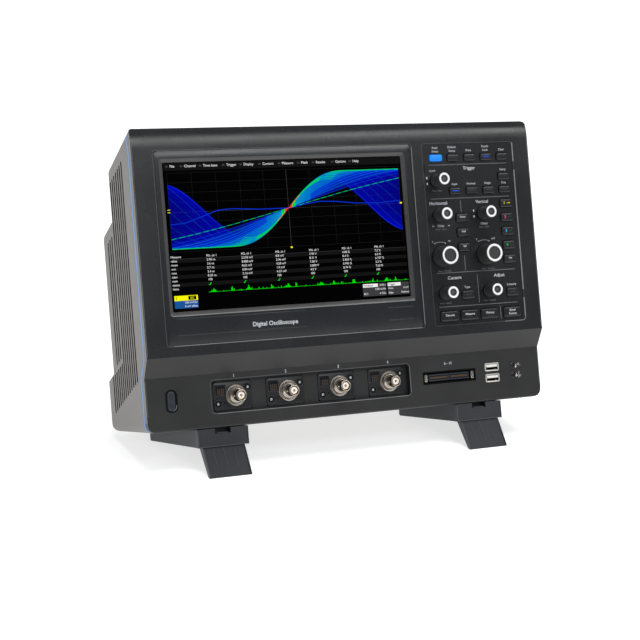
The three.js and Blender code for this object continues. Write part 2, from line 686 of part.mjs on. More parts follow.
function inputModule(index) {
  const centre = moduleCentre(index);
  const plate = prismInto(
    roundedRectangle(
      centre - MODULE_WIDTH / 2,
      centre + MODULE_WIDTH / 2,
      BNC_Z - MODULE_HEIGHT / 2,
      BNC_Z + MODULE_HEIGHT / 2,
      MODULE_CORNER,
    ),
    MODULE_FRONT_Y,
    MODULE_FRONT_Y + MODULE_THICKNESS,
  );
  const wellBack = MODULE_FRONT_Y + CONTACT_WELL.depth;
  const contactWell = bar(
    centre + CONTACT_WELL.x,
    BNC_Z + CONTACT_WELL.z,
    CONTACT_WELL.width,
    CONTACT_WELL.height,
    MODULE_FRONT_Y - 1,
    wellBack,
  );
  const frontEnd = bar(
    centre,
    BNC_Z,
    MODULE_WIDTH - WALL,
    MODULE_HEIGHT - WALL,
    MODULE_FRONT_Y + MODULE_THICKNESS - 1,
    MODULE_FRONT_Y + MODULE_DEPTH,
  );
  return join([plate.subtract(contactWell), frontEnd, bayonetConnector(BNC_FIRST_X + BNC_PITCH * index)]);
}

for (const index of MODULES) {
  piece(`input_module_${index + 1}`, inputModule(index), "nickel");
}

const intoBoard = IO_BOARD.frontY + 0.5;

function usbPort(z) {
  const shell = bar(USB.x, z, ...USB.shell, LOWER_FACE_Y - 0.5, intoBoard);
  const mouth = bar(USB.x, z, ...USB.mouth, LOWER_FACE_Y - 2, LOWER_FACE_Y + 9);
  const tongue = bar(USB.x, z + 0.9, USB.mouth[0] - 1.4, 1.9, LOWER_FACE_Y + 0.6, LOWER_FACE_Y + 10);
  return shell.subtract(mouth).add(tongue);
}

// A wire terminal: two legs from the board and the bar that a probe hook catches.
function hookTerminal(z) {
  const { x, wire, halfSpan } = TERMINAL;
  const front = LOWER_FACE_Y - TERMINAL.proud;
  const legs = [-halfSpan, halfSpan].map((across) => bar(x + across, z, wire, wire, front, intoBoard));
  return join([...legs, bar(x, z, 2 * halfSpan + wire, wire, front, front + wire)]);
}

function logicConnector() {
  const { x, z, width, height } = LOGIC_PORT;
  const body = bar(x, z, width, height, LOWER_FACE_Y + 0.6, intoBoard);
  const mouth = bar(x, z, width - 9, height - 3.4, LOWER_FACE_Y, LOWER_FACE_Y + 9);
  const tongue = bar(x, z, width - 12, 2.2, LOWER_FACE_Y + 1.6, LOWER_FACE_Y + 10);
  return body.subtract(mouth).add(tongue);
}

function frontConnectorBoard() {
  const { left, right, bottom, top, frontY } = IO_BOARD;
  const board = block([left, frontY, bottom], [right, frontY + BOARD_THICKNESS, top]);
  return join([board, ...USB.rows.map(usbPort), ...TERMINAL.rows.map(hookTerminal), logicConnector()]);
}

piece("front_connector_board", frontConnectorBoard(), "steel");

// ---- inside ----

function mainBoard() {
  const { left, right, bottom, top, frontY, backY } = MAIN_BOARD;
  const board = block([left, frontY, bottom], [right, backY, top]);
  const heatSinkBase = block(
    [HEAT_SINK.left, backY - 1, HEAT_SINK.bottom],
    [HEAT_SINK.right, HEAT_SINK.baseY, HEAT_SINK.top],
  );
  const finPitch = (HEAT_SINK.right - HEAT_SINK.left - 3 * HEAT_SINK.fin) / (HEAT_SINK.fins - 1);
  const fins = Array.from({ length: HEAT_SINK.fins }, (_, i) => {
    const x = HEAT_SINK.left + HEAT_SINK.fin + finPitch * i;
    return block(
      [x, HEAT_SINK.baseY - 1, HEAT_SINK.bottom],
      [x + HEAT_SINK.fin, HEAT_SINK.finY, HEAT_SINK.top],
    );
  });
  const memory = Array.from({ length: MEMORY.count }, (_, i) =>
    bar(MEMORY.x, MEMORY.z + MEMORY.pitch * i, ...MEMORY.size, frontY - MEMORY.proud, frontY + 1),
  );
  return join([board, heatSinkBase, ...fins, ...memory]);
}

function powerSupply() {
  const { left, right, frontY, backY, bottom, top } = POWER_SUPPLY;
  const can = block([left, frontY, bottom], [right, backY, top]);
  const ventCuts = Array.from({ length: SUPPLY_VENT.count }, (_, i) => {
    const x = left + SUPPLY_VENT.margin + SUPPLY_VENT.pitch * i;
    return block(
      [x, frontY + SUPPLY_VENT.margin, top - SUPPLY_VENT.depth],
      [x + SUPPLY_VENT.width, backY - SUPPLY_VENT.margin, top + 1],
    );
  });
  return cut(can, ventCuts);
}

piece("main_board", mainBoard(), "board");
piece("power_supply", powerSupply(), "steel");

function fanFrame() {
  const half = FAN.size / 2;
  const strutFront = FAN.backY - FAN_FLOOR;
  const frame = bar(FAN.x, FAN.z, FAN.size, FAN.size, FAN.frontY, FAN.backY);
  const throat = rod(half - 2, FAN.x, FAN.z, FAN.frontY - 1, FAN.backY + 1, 32);
  const motorMount = rod(FAN.hubRadius, FAN.x, FAN.z, strutFront, FAN.backY, 16);
  const struts = [
    bar(FAN.x, FAN.z, FAN.size - 2, FAN_STRUT, strutFront, FAN.backY),
    bar(FAN.x, FAN.z, FAN_STRUT, FAN.size - 2, strutFront, FAN.backY),
  ];
  return join([frame.subtract(throat), motorMount, ...struts]);
}

function fanRotor() {
  const reach = FAN.size / 2 - 4;
  const front = FAN.frontY + 2;
  const back = FAN.backY - FAN_FLOOR - 1;
  const root = FAN.hubRadius - 4;
  const hub = rod(FAN.hubRadius, FAN.x, FAN.z, front, back, 16);
  const blades = Array.from({ length: FAN.blades }, (_, i) => {
    const blade = new THREE.BoxGeometry(reach - root, 1.6, back - front - 3);
    blade.rotateX(Math.PI / 2 + FAN.bladePitch);
    blade.translate((reach + root) / 2, 0, 0);
    blade.rotateY((2 * Math.PI * i) / FAN.blades);
    return solid(blade.translate(FAN.x, (front + back) / 2, FAN.z));
  });
  return join([hub, ...blades]);
}

piece("fan_frame", fanFrame(), "black");
piece("fan_rotor", fanRotor(), "black");

// The plate in the back wall with the mains inlet.
function rearPanel() {
  const { x, z, width, height, depth } = INLET;
  const plateBack = REAR_Y - 1;
  const plate = windowThrough(IO_PANEL, 2, 0, REAR_Y - WALL, plateBack);
  const inletBody = bar(x, z, width + 4, height + 4, plateBack - depth - 2, REAR_Y);
  const inletMouth = bar(x, z, width, height, plateBack - depth, REAR_Y + 1);
  const pins = [-PIN.spread, 0, PIN.spread].map((across) => {
    const lift = across === 0 ? PIN.earthLift : PIN.otherLift;
    return bar(x + across, z + lift, PIN.width, PIN.height, plateBack - depth - 1, REAR_Y - 4);
  });
  const sockets = SOCKETS_X.map((socketX) =>
    bar(socketX, z, ...SOCKET, REAR_Y - SOCKET_DEPTH, REAR_Y - 0.5),
  );
  return join([cut(join([plate, inletBody]), [inletMouth]), ...pins, ...sockets]);
}

piece("rear_panel", rearPanel(), "steel");

// ---- feet ----

const floorLine = (y) => -FLAP_TIP_DROP + y * Math.tan(LEAN);

function footBase(x) {
  const side = outline([
    [FOOT_FRONT_Y, -TOE_INSET],
    [FOOT_FRONT_Y, -FOOT_DROP],
    [FOOT_FRONT_Y + 2, -FOOT_DROP],
    [HEEL_Y - 2, floorLine(HEEL_Y - 2)],
    [HEEL_Y + 1.5, floorLine(HEEL_Y + 1.5)],
    [FOOT_REAR_Y, -TOE_INSET],
  ]);
  const wedge = prismAcross(side, x - FOOT_HEEL_HALF_WIDTH - 1, x + FOOT_HEEL_HALF_WIDTH + 1);
  const plan = outline([
    [x - FOOT_HALF_WIDTH, -FOOT_FRONT_Y],
    [x - FOOT_HALF_WIDTH, -FOOT_FRONT_Y - 8],
    [x - FOOT_HEEL_HALF_WIDTH, -HEEL_Y, 3],
    [x - FOOT_HEEL_HALF_WIDTH + 6, -FOOT_REAR_Y, 2],
    [x + FOOT_HEEL_HALF_WIDTH - 6, -FOOT_REAR_Y, 2],
    [x + FOOT_HEEL_HALF_WIDTH, -HEEL_Y, 3],
    [x + FOOT_HALF_WIDTH, -FOOT_FRONT_Y - 8],
    [x + FOOT_HALF_WIDTH, -FOOT_FRONT_Y],
  ]);
  const column = new THREE.ExtrudeGeometry(plan, { depth: 40, bevelEnabled: false, curveSegments: 3 });
  const footprint = solid(column.rotateX(Math.PI).translate(0, 0, 10));
  const halfBay = FLAP_WIDTH / 2 + BAY_CLEARANCE;
  const bay = prismAcross(outline(FLAP_BAY), x - halfBay, x + halfBay);
  const pinEnd = FLAP_WIDTH / 2 + PIN_REACH + 0.4;
  const pinHole = crossRod(PIN_HOLE_RADIUS, ...FLAP_PIVOT, x - pinEnd, x + pinEnd);
  const notch = block(
    [x - TOE_NOTCH.halfWidth, 0, -TOE_NOTCH.depth],
    [x + TOE_NOTCH.halfWidth, FOOT_FRONT_Y + 8, 2],
  );
  const hub = uprightRod(SWIVEL_RADIUS, x, FOOT_PIVOT_Y, ...SWIVEL_HUB);
  return cut(wedge.intersect(footprint), [bay, pinHole, notch]).add(hub);
}

function footFlap(x) {
  const [pivotY, pivotZ] = FLAP_PIVOT;
  const tip = new THREE.Vector2(0, -FLAP_TIP_DROP);
  const along = new THREE.Vector2(...FLAP_ROOT).sub(tip).normalize();
  const front = new THREE.Vector2(-along.y, along.x);
  const start = Math.atan2(front.y, front.x);
  const knuckle = front.clone().multiplyScalar(FLAP_KNUCKLE);
  const side = new THREE.Shape();
  side.moveTo(pivotY + knuckle.x, pivotZ + knuckle.y);
  side.lineTo(tip.x, tip.y);
  side.lineTo(FLAP_HEEL.back, floorLine(FLAP_HEEL.back));
  side.lineTo(FLAP_HEEL.turn, floorLine(FLAP_HEEL.back) + FLAP_HEEL.rise);
  side.lineTo(pivotY - knuckle.x, pivotZ - knuckle.y);
  side.absarc(pivotY, pivotZ, FLAP_KNUCKLE, start - Math.PI, start, false);
  const half = FLAP_WIDTH / 2;
  const blade = prismAcross(side, x - half, x + half, 5);
  const grooves = GROOVES_X.map((across) => {
    const groove = new THREE.BoxGeometry(GROOVE.width, GROOVE.length, GROOVE.depth);
    groove.translate(0, -GROOVE.start, 0);
    groove.rotateX(Math.atan2(along.y, along.x) - Math.PI / 2);
    return solid(groove.translate(x + across, pivotY + knuckle.x, pivotZ + knuckle.y));
  });
  const pin = crossRod(PIN_RADIUS, pivotY, pivotZ, x - half - PIN_REACH, x + half + PIN_REACH, 12);
  return cut(blade, grooves).add(pin);
}

for (const [name, side] of [["left", -1], ["right", 1]]) {
  piece(`${name}_foot_base`, footBase(side * FOOT_X), "foot");
  piece(`${name}_foot_flap`, footFlap(side * FOOT_X), "foot");
}

// ---- leaned back and set on the ground ----

instrument.rotation.x = -LEAN;
const oscilloscope = new THREE.Group();
oscilloscope.add(instrument);
oscilloscope.updateMatrixWorld(true);
const extent = new THREE.Box3().setFromObject(oscilloscope, true);
const centre = extent.getCenter(new THREE.Vector3());
instrument.position.set(-centre.x, -centre.y, -extent.min.z);

export default oscilloscope;
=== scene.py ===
import json
import math
import random

import bmesh
import bpy
from mathutils import Matrix, Vector
from mathutils.bvhtree import BVHTree

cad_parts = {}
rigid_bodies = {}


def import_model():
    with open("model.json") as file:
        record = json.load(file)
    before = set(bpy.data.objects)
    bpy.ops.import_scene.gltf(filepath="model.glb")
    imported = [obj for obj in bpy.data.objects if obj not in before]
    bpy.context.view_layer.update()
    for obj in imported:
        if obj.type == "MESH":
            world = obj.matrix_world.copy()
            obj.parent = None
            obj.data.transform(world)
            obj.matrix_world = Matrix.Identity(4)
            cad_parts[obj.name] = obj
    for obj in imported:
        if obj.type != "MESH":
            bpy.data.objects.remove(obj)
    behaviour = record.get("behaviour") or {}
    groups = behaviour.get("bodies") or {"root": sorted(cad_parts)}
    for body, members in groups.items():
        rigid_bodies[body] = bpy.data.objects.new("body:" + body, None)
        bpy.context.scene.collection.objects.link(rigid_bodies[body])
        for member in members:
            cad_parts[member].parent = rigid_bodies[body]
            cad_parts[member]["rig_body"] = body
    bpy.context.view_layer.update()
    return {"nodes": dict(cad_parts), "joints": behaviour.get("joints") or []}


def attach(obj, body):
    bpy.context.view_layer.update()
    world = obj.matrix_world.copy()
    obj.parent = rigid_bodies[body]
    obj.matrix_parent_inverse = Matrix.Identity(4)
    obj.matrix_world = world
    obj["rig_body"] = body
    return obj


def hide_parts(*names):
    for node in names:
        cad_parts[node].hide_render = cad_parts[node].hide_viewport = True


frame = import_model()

# A bench oscilloscope. Everything is drawn in the case's own frame, in millimetres: X to the right as the
# user faces it, Y into its depth from the upper front face, Z up from the case's underside.

MM = 0.001
JOINT = {joint["name"]: joint for joint in frame["joints"]}
INTO = Vector(JOINT["fan_spin"]["axis"])
UP = Vector(JOINT["left_foot_swivel"]["axis"])
FAN_CENTRE = Vector((-96, 100, 118))

turn = Matrix((INTO.cross(UP), INTO, UP)).transposed()
origin = Vector(JOINT["fan_spin"]["pos_m"]) - turn @ (FAN_CENTRE * MM)
CASE = Matrix.Translation(origin) @ turn.to_4x4() @ Matrix.Scale(MM, 4)
TO_CASE = CASE.inverted()


def case_box(node):
    """The lowest and the highest corner of a CAD node, in the case's frame."""
    points = [TO_CASE @ vertex.co for vertex in frame["nodes"][node].data.vertices]
    return [Vector(map(pick, zip(*points))) for pick in (min, max)]


def case_centre(node):
    low, high = case_box(node)
    return (low + high) / 2


# ---- camera ----

CAMERA_AT = Vector((-584.0, -1274.7, 65.1))
CAMERA_TOWARDS = Vector((-25.4, 14.4, 84.9))
CAMERA_ROLL = math.radians(2.515)
LENS = 90.25

camera = bpy.data.objects.new("camera", bpy.data.cameras.new("camera"))
camera.data.lens = LENS
camera.data.sensor_width = 36
camera.data.clip_start = 0.05
bpy.context.scene.collection.objects.link(camera)
bpy.context.scene.camera = camera
aim = (CASE @ CAMERA_TOWARDS - CASE @ CAMERA_AT).to_track_quat("-Z", "Y").to_matrix().to_4x4()
camera.matrix_world = Matrix.Translation(CASE @ CAMERA_AT) @ aim @ Matrix.Rotation(CAMERA_ROLL, 4, "Z")

# ---- finishes ----

FINISHES = {}


def grey(level):
    return (level, level, level)


def finish(
    name, colour, roughness, metallic=0.0, grain=0.35, relief=0.15, mottle=0.12, edge_highlight=0.25, glow=0.0, shine=0.5
):
    """A plastic, metal or print finish. Grain is the size of its texture in millimetres, relief the depth of
    the texture, mottle how much the colour and the roughness wander, and the edge setting how much its edges
    lighten: a painted highlight on every rounded edge."""
    material = bpy.data.materials.new(name)
    material.use_nodes = True
    nodes, links = material.node_tree.nodes, material.node_tree.links
    shader = nodes["Principled BSDF"]
    shader.inputs["Metallic"].default_value = metallic
    shader.inputs["Specular IOR Level"].default_value = shine

    place = nodes.new("ShaderNodeTexCoord")

    def noise(size, detail):
        node = nodes.new("ShaderNodeTexNoise")
        node.inputs["Scale"].default_value = 1 / (size * MM)
        node.inputs["Detail"].default_value = detail
        links.new(place.outputs["Object"], node.inputs["Vector"])
        return node.outputs["Fac"]

    def spread(value, low, high):
        node = nodes.new("ShaderNodeMapRange")
        node.inputs["From Min"].default_value = 0.3
        node.inputs["From Max"].default_value = 0.7
        node.inputs["To Min"].default_value = low
        node.inputs["To Max"].default_value = high
        links.new(value, node.inputs["Value"])
        return node.outputs["Result"]

    def blend(factor, first, second):
        node = nodes.new("ShaderNodeMix")
        node.data_type = "RGBA"
        links.new(factor, node.inputs["Factor"])
        for socket, value in ((node.inputs[6], first), (node.inputs[7], second)):
            if isinstance(value, tuple):
                socket.default_value = (*value, 1)
            else:
                links.new(value, socket)
        return node.outputs[2]

    fine = noise(grain, 2)
    cloud = noise(45, 3)
    darker = tuple(c * (1 - mottle) for c in colour)
    lighter = tuple(min(1, c * (1 + mottle)) for c in colour)
    body = blend(spread(cloud, 0, 1), darker, lighter)
    flecked = blend(spread(fine, 0, mottle), body, tuple(min(1, c * 1.6 + 0.01) for c in colour))

    # Painted highlight: the edges that the Bevel node finds are lightened in colour.
    rounded = nodes.new("ShaderNodeBevel")
    rounded.samples = 4
    rounded.inputs["Radius"].default_value = 0.35 * MM
    flat = nodes.new("ShaderNodeNewGeometry")
    facing = nodes.new("ShaderNodeVectorMath")
    facing.operation = "DOT_PRODUCT"
    links.new(rounded.outputs["Normal"], facing.inputs[0])
    links.new(flat.outputs["Normal"], facing.inputs[1])
    edge_highlight_mask = nodes.new("ShaderNodeMapRange")
    edge_highlight_mask.inputs["From Min"].default_value = 0.995
    edge_highlight_mask.inputs["From Max"].default_value = 0.86
    edge_highlight_mask.inputs["To Max"].default_value = edge_highlight
    links.new(facing.outputs["Value"], edge_highlight_mask.inputs["Value"])
    edge = tuple(min(1, c * 1.7 + 0.045 * min(1, edge_highlight * 4)) for c in colour)
    if not glow:
        links.new(blend(edge_highlight_mask.outputs["Result"], flecked, edge), shader.inputs["Base Color"])
    smoothest, roughest = roughness * (1 - mottle), min(1, roughness * (1 + mottle))
    links.new(spread(cloud, smoothest, roughest), shader.inputs["Roughness"])

    bump = nodes.new("ShaderNodeBump")
    bump.inputs["Strength"].default_value = relief
    bump.inputs["Distance"].default_value = 0.1 * MM
    links.new(fine, bump.inputs["Height"])
    links.new(bump.outputs["Normal"], shader.inputs["Normal"])
    if glow:
        links.new(body, shader.inputs["Emission Color"])
        shader.inputs["Emission Strength"].default_value = glow
        shader.inputs["Base Color"].default_value = (*grey(0.0005), 1)
    FINISHES[name] = material


finish("bezel", (0.012, 0.0125, 0.0135), 0.27, grain=0.5, relief=0.3)
finish("bezel_low", (0.0125, 0.0125, 0.013), 0.45, grain=0.5, relief=0.3)
# Light grey for the painted highlight on the front's corner edges.
finish("corner_highlight", (0.1, 0.1, 0.1), 0.4, grain=0.6, relief=0.5, mottle=0.6)
finish("surround", (0.0115, 0.013, 0.0155), 0.24, relief=0.06)
# Three lighter greys for painted highlights on raised rims and edges.
finish("lip_highlight", (0.05, 0.049, 0.048), 0.3, relief=0.05)
finish("outline_highlight", (0.055, 0.054, 0.052), 0.35, relief=0.05)
finish("panel", (0.009, 0.0095, 0.0105), 0.26, relief=0.08)
finish("painted_edge_highlight", (0.17, 0.17, 0.17), 0.3, relief=0.05)
finish("housing", (0.19, 0.184, 0.174), 0.6, grain=0.6, relief=0.4, mottle=0.06, edge_highlight=0.15)
# Near black for the painted shade inside the housing's cavity and vents.
finish("housing_recess_shade", grey(0.005), 0.7, relief=0.2, edge_highlight=0.1, shine=0.15)
finish("trim", (0.055, 0.21, 0.5), 0.38, mottle=0.05, edge_highlight=0.15)
finish("foot", (0.02, 0.0225, 0.0265), 0.45, grain=0.5, relief=0.3)
# Lighter copy of the foot grey for painted highlights.
finish("foot_edge", (0.06, 0.063, 0.067), 0.35)
finish("key", (0.0105, 0.011, 0.012), 0.28, relief=0.1)
finish("blue_key", (0.0, 0.24, 0.95), 0.35, mottle=0.05, edge_highlight=0.1)
finish("knob", (0.028, 0.028, 0.0285), 0.4, relief=0.12)
finish("knob_ring", (0.8, 0.81, 0.82), 0.35, mottle=0.03)
# Near black for painted shade in recesses, holes, slots and gaps.
finish("well", grey(0.003), 0.6, shine=0.2)
finish("ink", (0.5, 0.53, 0.56), 0.55, mottle=0.06, relief=0.05)
finish("faint_ink", (0.13, 0.137, 0.147), 0.55, mottle=0.08, relief=0.05)
finish("nickel", (0.62, 0.56, 0.49), 0.22, metallic=1.0, relief=0.06)
# Darker copy of the nickel for painted shade.
finish("shaded_nickel", (0.3, 0.27, 0.24), 0.3, metallic=1.0)
finish("screw", (0.5, 0.49, 0.46), 0.3, metallic=1.0)
finish("steel", (0.4, 0.4, 0.39), 0.35, metallic=1.0)
finish("usb_shell", (0.72, 0.7, 0.66), 0.35, metallic=0.6)
finish("gold", (0.8, 0.5, 0.18), 0.25, metallic=1.0)
finish("dielectric", (0.82, 0.8, 0.76), 0.45, mottle=0.04)
finish("module", (0.011, 0.0113, 0.0116), 0.3, relief=0.15)
finish("contact", (0.07, 0.042, 0.03), 0.5)
finish("port_frame", (0.012, 0.017, 0.023), 0.4)
finish("brass_slot", (0.03, 0.013, 0.004), 0.5)
finish("button", (0.013, 0.019, 0.026), 0.4)
finish("button_line", (0.03, 0.045, 0.06), 0.4)
finish("solder_mask", (0.01, 0.09, 0.035), 0.4)
finish("fan_plastic", (0.01, 0.0105, 0.011), 0.45)
finish("glass", (0.00005, 0.00005, 0.00006), 0.2, relief=0.01, edge_highlight=0.0, shine=0.01)
finish("bar_off", (0.022, 0.026, 0.034), 0.35)
for name, colour, strength in (
    ("lit_blue", (0.002, 0.09, 0.8), 1.1),
    ("lit_yellow", (0.95, 0.75, 0.02), 0.9),
    ("lit_pink", (0.9, 0.14, 0.3), 0.9),
    ("lit_cyan", (0.02, 0.55, 0.95), 1.0),
    ("lit_green", (0.0, 0.65, 0.12), 0.9),
    ("screen_white", grey(0.85), 1.0),
    ("screen_grey", grey(0.014), 1.0),
    ("screen_line", grey(0.05), 1.0),
    ("screen_row", grey(0.006), 1.0),
    ("screen_menu", grey(0.0055), 1.0),
    ("screen_dot", grey(0.07), 1.0),
    ("screen_panel", (0.045, 0.045, 0.048), 1.0),
    ("screen_blue_box", (0.01, 0.09, 0.32), 1.0),
    ("screen_yellow", (0.95, 0.93, 0.0), 1.0),
    ("screen_green", (0.0, 0.85, 0.0), 1.0),
    ("trace_deep", (0.0, 0.0005, 0.55), 1.0),
    ("trace_blue", (0.0, 0.03, 0.62), 1.0),
    ("trace_azure", (0.0, 0.13, 0.6), 1.0),
    ("trace_cyan", (0.0, 0.3, 0.55), 1.0),
    ("trace_green", (0.0, 0.62, 0.09), 1.0),
    ("trace_red", (0.85, 0.04, 0.0), 1.0),
):
    finish(name, colour, 0.4, mottle=0.04, edge_highlight=0.05, relief=0.02, glow=strength, shine=0.01)

# ---- drawing ----


def ring_of_rectangle(x, z, width, height, radius, steps=5):
    """The corners of a rounded rectangle seen from the front, counter-clockwise, as (x, z)."""
    radius = max(0.02, min(radius, width / 2 - 0.01, height / 2 - 0.01))
    points = []
    for quarter, (side, level) in enumerate(((1, 1), (-1, 1), (-1, -1), (1, -1))):
        cx = x + side * (width / 2 - radius)
        cz = z + level * (height / 2 - radius)
        for step in range(steps + 1):
            angle = math.pi / 2 * (quarter + step / steps)
            points.append((cx + radius * math.cos(angle), cz + radius * math.sin(angle)))
    return points


def ring_of_circle(x, z, radius, sides):
    return [
        (x + radius * math.cos(2 * math.pi * i / sides), z + radius * math.sin(2 * math.pi * i / sides))
        for i in range(sides)
    ]


OPEN = (False, False)


class Drawing:
    """A mesh being drawn, with a finish for each part of it."""

    def __init__(self):
        self.mesh = bmesh.new()
        self.looks = []

    def look(self, name):
        if name not in self.looks:
            self.looks.append(name)
        return self.looks.index(name)

    def skin(self, rings, look, closed=(True, True), loop=True):
        """Joins rings of points that have the same count, and closes the ends asked for."""
        index = self.look(look)
        made = [[self.mesh.verts.new(point) for point in ring] for ring in rings]
        faces = []
        for first, second in zip(made, made[1:]):
            count = len(first)
            for i in range(count if loop else count - 1):
                j = (i + 1) % count
                faces.append(self.mesh.faces.new((first[i], first[j], second[j], second[i])))
        faces += [self.mesh.faces.new(ring) for ring, wanted in zip((made[0], made[-1]), closed) if wanted]
        for face in faces:
            face.material_index = index
        return faces

    def slab(self, x, z, width, height, radius, profile, look, closed=(True, True)):
        """A rounded rectangle carried through a profile of (inset, y)."""
        rings = [
            [
                (px, y, pz)
                for px, pz in ring_of_rectangle(x, z, width - 2 * inset, height - 2 * inset, radius - inset)
            ]
            for inset, y in profile
        ]
        return self.skin(rings, look, closed)

    def turned(self, x, z, profile, look, sides=40, closed=(True, True)):
        """A turned shape about the Y direction, with a profile of (radius, y)."""
        rings = [
            [(px, y, pz) for px, pz in ring_of_circle(x, z, max(radius, 0.01), sides)]
            for radius, y in profile
        ]
        return self.skin(rings, look, closed)

    def block(self, low, high, look, ease=0.15):
        """A block with its front edges eased."""
        x, z = (low[0] + high[0]) / 2, (low[2] + high[2]) / 2
        size = (high[0] - low[0], high[2] - low[2])
        profile = [(ease, high[1]), (0, high[1] - ease), (0, low[1] + ease), (ease, low[1])]
        return self.slab(x, z, *size, ease * 1.5, profile, look)

    def wire(self, path, radius, look, sides=12):
        """A round wire along a path of points."""
        points = [Vector(point) for point in path]
        rings = []
        side = None
        for i, point in enumerate(points):
            along = (points[min(i + 1, len(points) - 1)] - points[max(i - 1, 0)]).normalized()
            side = (side or along.orthogonal()).cross(along).cross(along).normalized() * -1
            other = along.cross(side)
            angles = [2 * math.pi * k / sides for k in range(sides)]
            rings.append([point + radius * (math.cos(a) * side + math.sin(a) * other) for a in angles])
        return self.skin(rings, look)

    def band(self, path, width, y, look):
        """A flat line of a given width along a path of (x, z)."""
        points = [Vector(point) for point in path]
        rings = []
        for i, point in enumerate(points):
            along = (points[min(i + 1, len(points) - 1)] - points[max(i - 1, 0)]).normalized()
            side = Vector((-along.y, along.x)) * width / 2
            rings.append([(point.x + s * side.x, y, point.y + s * side.y) for s in (-1, 1)])
        return self.skin(rings, look, closed=OPEN, loop=False)

    def patch(self, left, right, bottom, top, y, look):
        return self.band([((left + right) / 2, bottom), ((left + right) / 2, top)], right - left, y, look)

    def words(self, text, size, x, z, y, look, align="CENTER", weight=0.0, depth=0.03):
        """Lettering read from the front, standing a little off the surface at y."""
        curve = bpy.data.curves.new("letters", "FONT")
        curve.body = text
        curve.size = size
        curve.align_x = align
        curve.align_y = "CENTER"
        curve.resolution_u = 3
        curve.offset = weight
        curve.extrude = depth
        holder = bpy.data.objects.new("letters", curve)
        mesh = bpy.data.meshes.new_from_object(holder)
        mesh.transform(Matrix.Translation((x, y, z)) @ Matrix.Rotation(math.pi / 2, 4, "X"))
        before = len(self.mesh.faces)
        self.mesh.from_mesh(mesh)
        self.mesh.faces.ensure_lookup_table()
        index = self.look(look)
        for face in self.mesh.faces[before:]:
            face.material_index = index
        bpy.data.objects.remove(holder)
        bpy.data.curves.remove(curve)
        bpy.data.meshes.remove(mesh)

    def made(self, name, body, slot, replaces=(), smooth=40, recalculate=True):
        """Turns the drawing into a piece that rides on a body."""
        if recalculate:
            bmesh.ops.recalc_face_normals(self.mesh, faces=self.mesh.faces[:])
        self.mesh.transform(CASE)
        mesh = bpy.data.meshes.new(name)
        self.mesh.to_mesh(mesh)
        self.mesh.free()
        for look in self.looks:
            mesh.materials.append(FINISHES[look])
        mesh.shade_smooth()
        mesh.set_sharp_from_angle(angle=math.radians(smooth))
        return add(name, mesh, body, replaces)


def add(name, mesh, body, replaces=()):
    piece = bpy.data.objects.new(name, mesh)
    bpy.context.scene.collection.objects.link(piece)
    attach(piece, body)
    if replaces:
        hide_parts(*replaces)
    return piece


def is_inside(tree, face):
    """Whether a face of the housing looks at another one, and so gets painted shade: the cavity and the vents,
    but not the grip.
    """
    centre, along = face.calc_center_median(), face.normal
    hit = tree.ray_cast(centre + along * 0.2 * MM, along, 0.5)[0]
    at = TO_CASE @ centre
    in_grip = at.z > 195 and at.y > 44 and abs(at.x) < 64
    return hit is not None and not in_grip


BAND_TOP = 62.5


def is_low(tree, face):
    """Whether a face of the bezel belongs to its sloped band or to the lower face."""
    return (TO_CASE @ face.calc_center_median()).z < BAND_TOP


def refined(node, look, width=0.35, segments=2, body=None, second=None, chosen=None):
    """A CAD node drawn again with its edges rounded, standing for that node.
    The chosen faces get a second look."""
    source = frame["nodes"][node]
    body = body or source["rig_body"]
    work = bmesh.new()
    work.from_mesh(source.data)
    bmesh.ops.remove_doubles(work, verts=work.verts, dist=1e-6)
    bmesh.ops.dissolve_limit(work, angle_limit=math.radians(1), verts=work.verts, edges=work.edges)
    least = math.radians(32)
    sharp = [e for e in work.edges if len(e.link_faces) == 2 and e.calc_face_angle(0) > least]
    bmesh.ops.bevel(
        work, geom=sharp, offset=width * MM, segments=segments, profile=0.5, affect="EDGES", clamp_overlap=True
    )
    for face in work.faces:
        face.material_index = 0
    if second:
        work.normal_update()
        tree = BVHTree.FromBMesh(work)
        for face in work.faces:
            face.material_index = int(chosen(tree, face))
    mesh = bpy.data.meshes.new(node + "_finished")
    work.to_mesh(mesh)
    work.free()
    for name in (look, second) if second else (look,):
        mesh.materials.append(FINISHES[name])
    mesh.shade_smooth()
    mesh.set_sharp_from_angle(angle=math.radians(50))
    piece = add(node + "_finished", mesh, body, [node])
    weigh = piece.modifiers.new("even_shading", "WEIGHTED_NORMAL")
    weigh.keep_sharp = True
    return piece


def dressed(node, look, width=0.25):
    """A CAD node shown as it is, with its own edges eased."""
    piece = frame["nodes"][node]
    piece.data.materials.clear()
    piece.data.materials.append(FINISHES[look])
    flatten = piece.modifiers.new("flatten", "DECIMATE")
    flatten.decimate_type = "DISSOLVE"
    flatten.angle_limit = math.radians(1)
    ease = piece.modifiers.new("ease", "BEVEL")
    ease.width = width * MM
    ease.segments = 2
    ease.angle_limit = math.radians(35)


# ---- case ----

refined("front_bezel", "bezel", width=0.6, segments=3, second="bezel_low", chosen=is_low)
# Faces in the housing's cavity and vents get near-black painted shade.
refined("rear_housing", "housing", width=0.3, second="housing_recess_shade", chosen=is_inside)
refined("trim_strip", "trim", width=0.3)

# A painted highlight runs down the front's left and right corners, where the rounded edges catch the light.
corners = Drawing()
for side in (-1, 1):
    x = side * 189.2
    corners.wire([(x, 0.12, 240), (x, 0.12, 150), (x, 0.12, 64.4)], 0.3, "corner_highlight", sides=8)
    corners.wire([(x, 11.65, 44), (x, 11.65, 14)], 0.25, "corner_highlight", sides=8)
corners.made("bezel_corner_highlights", "case", "bezel_plastic", smooth=60)

# ---- display ----

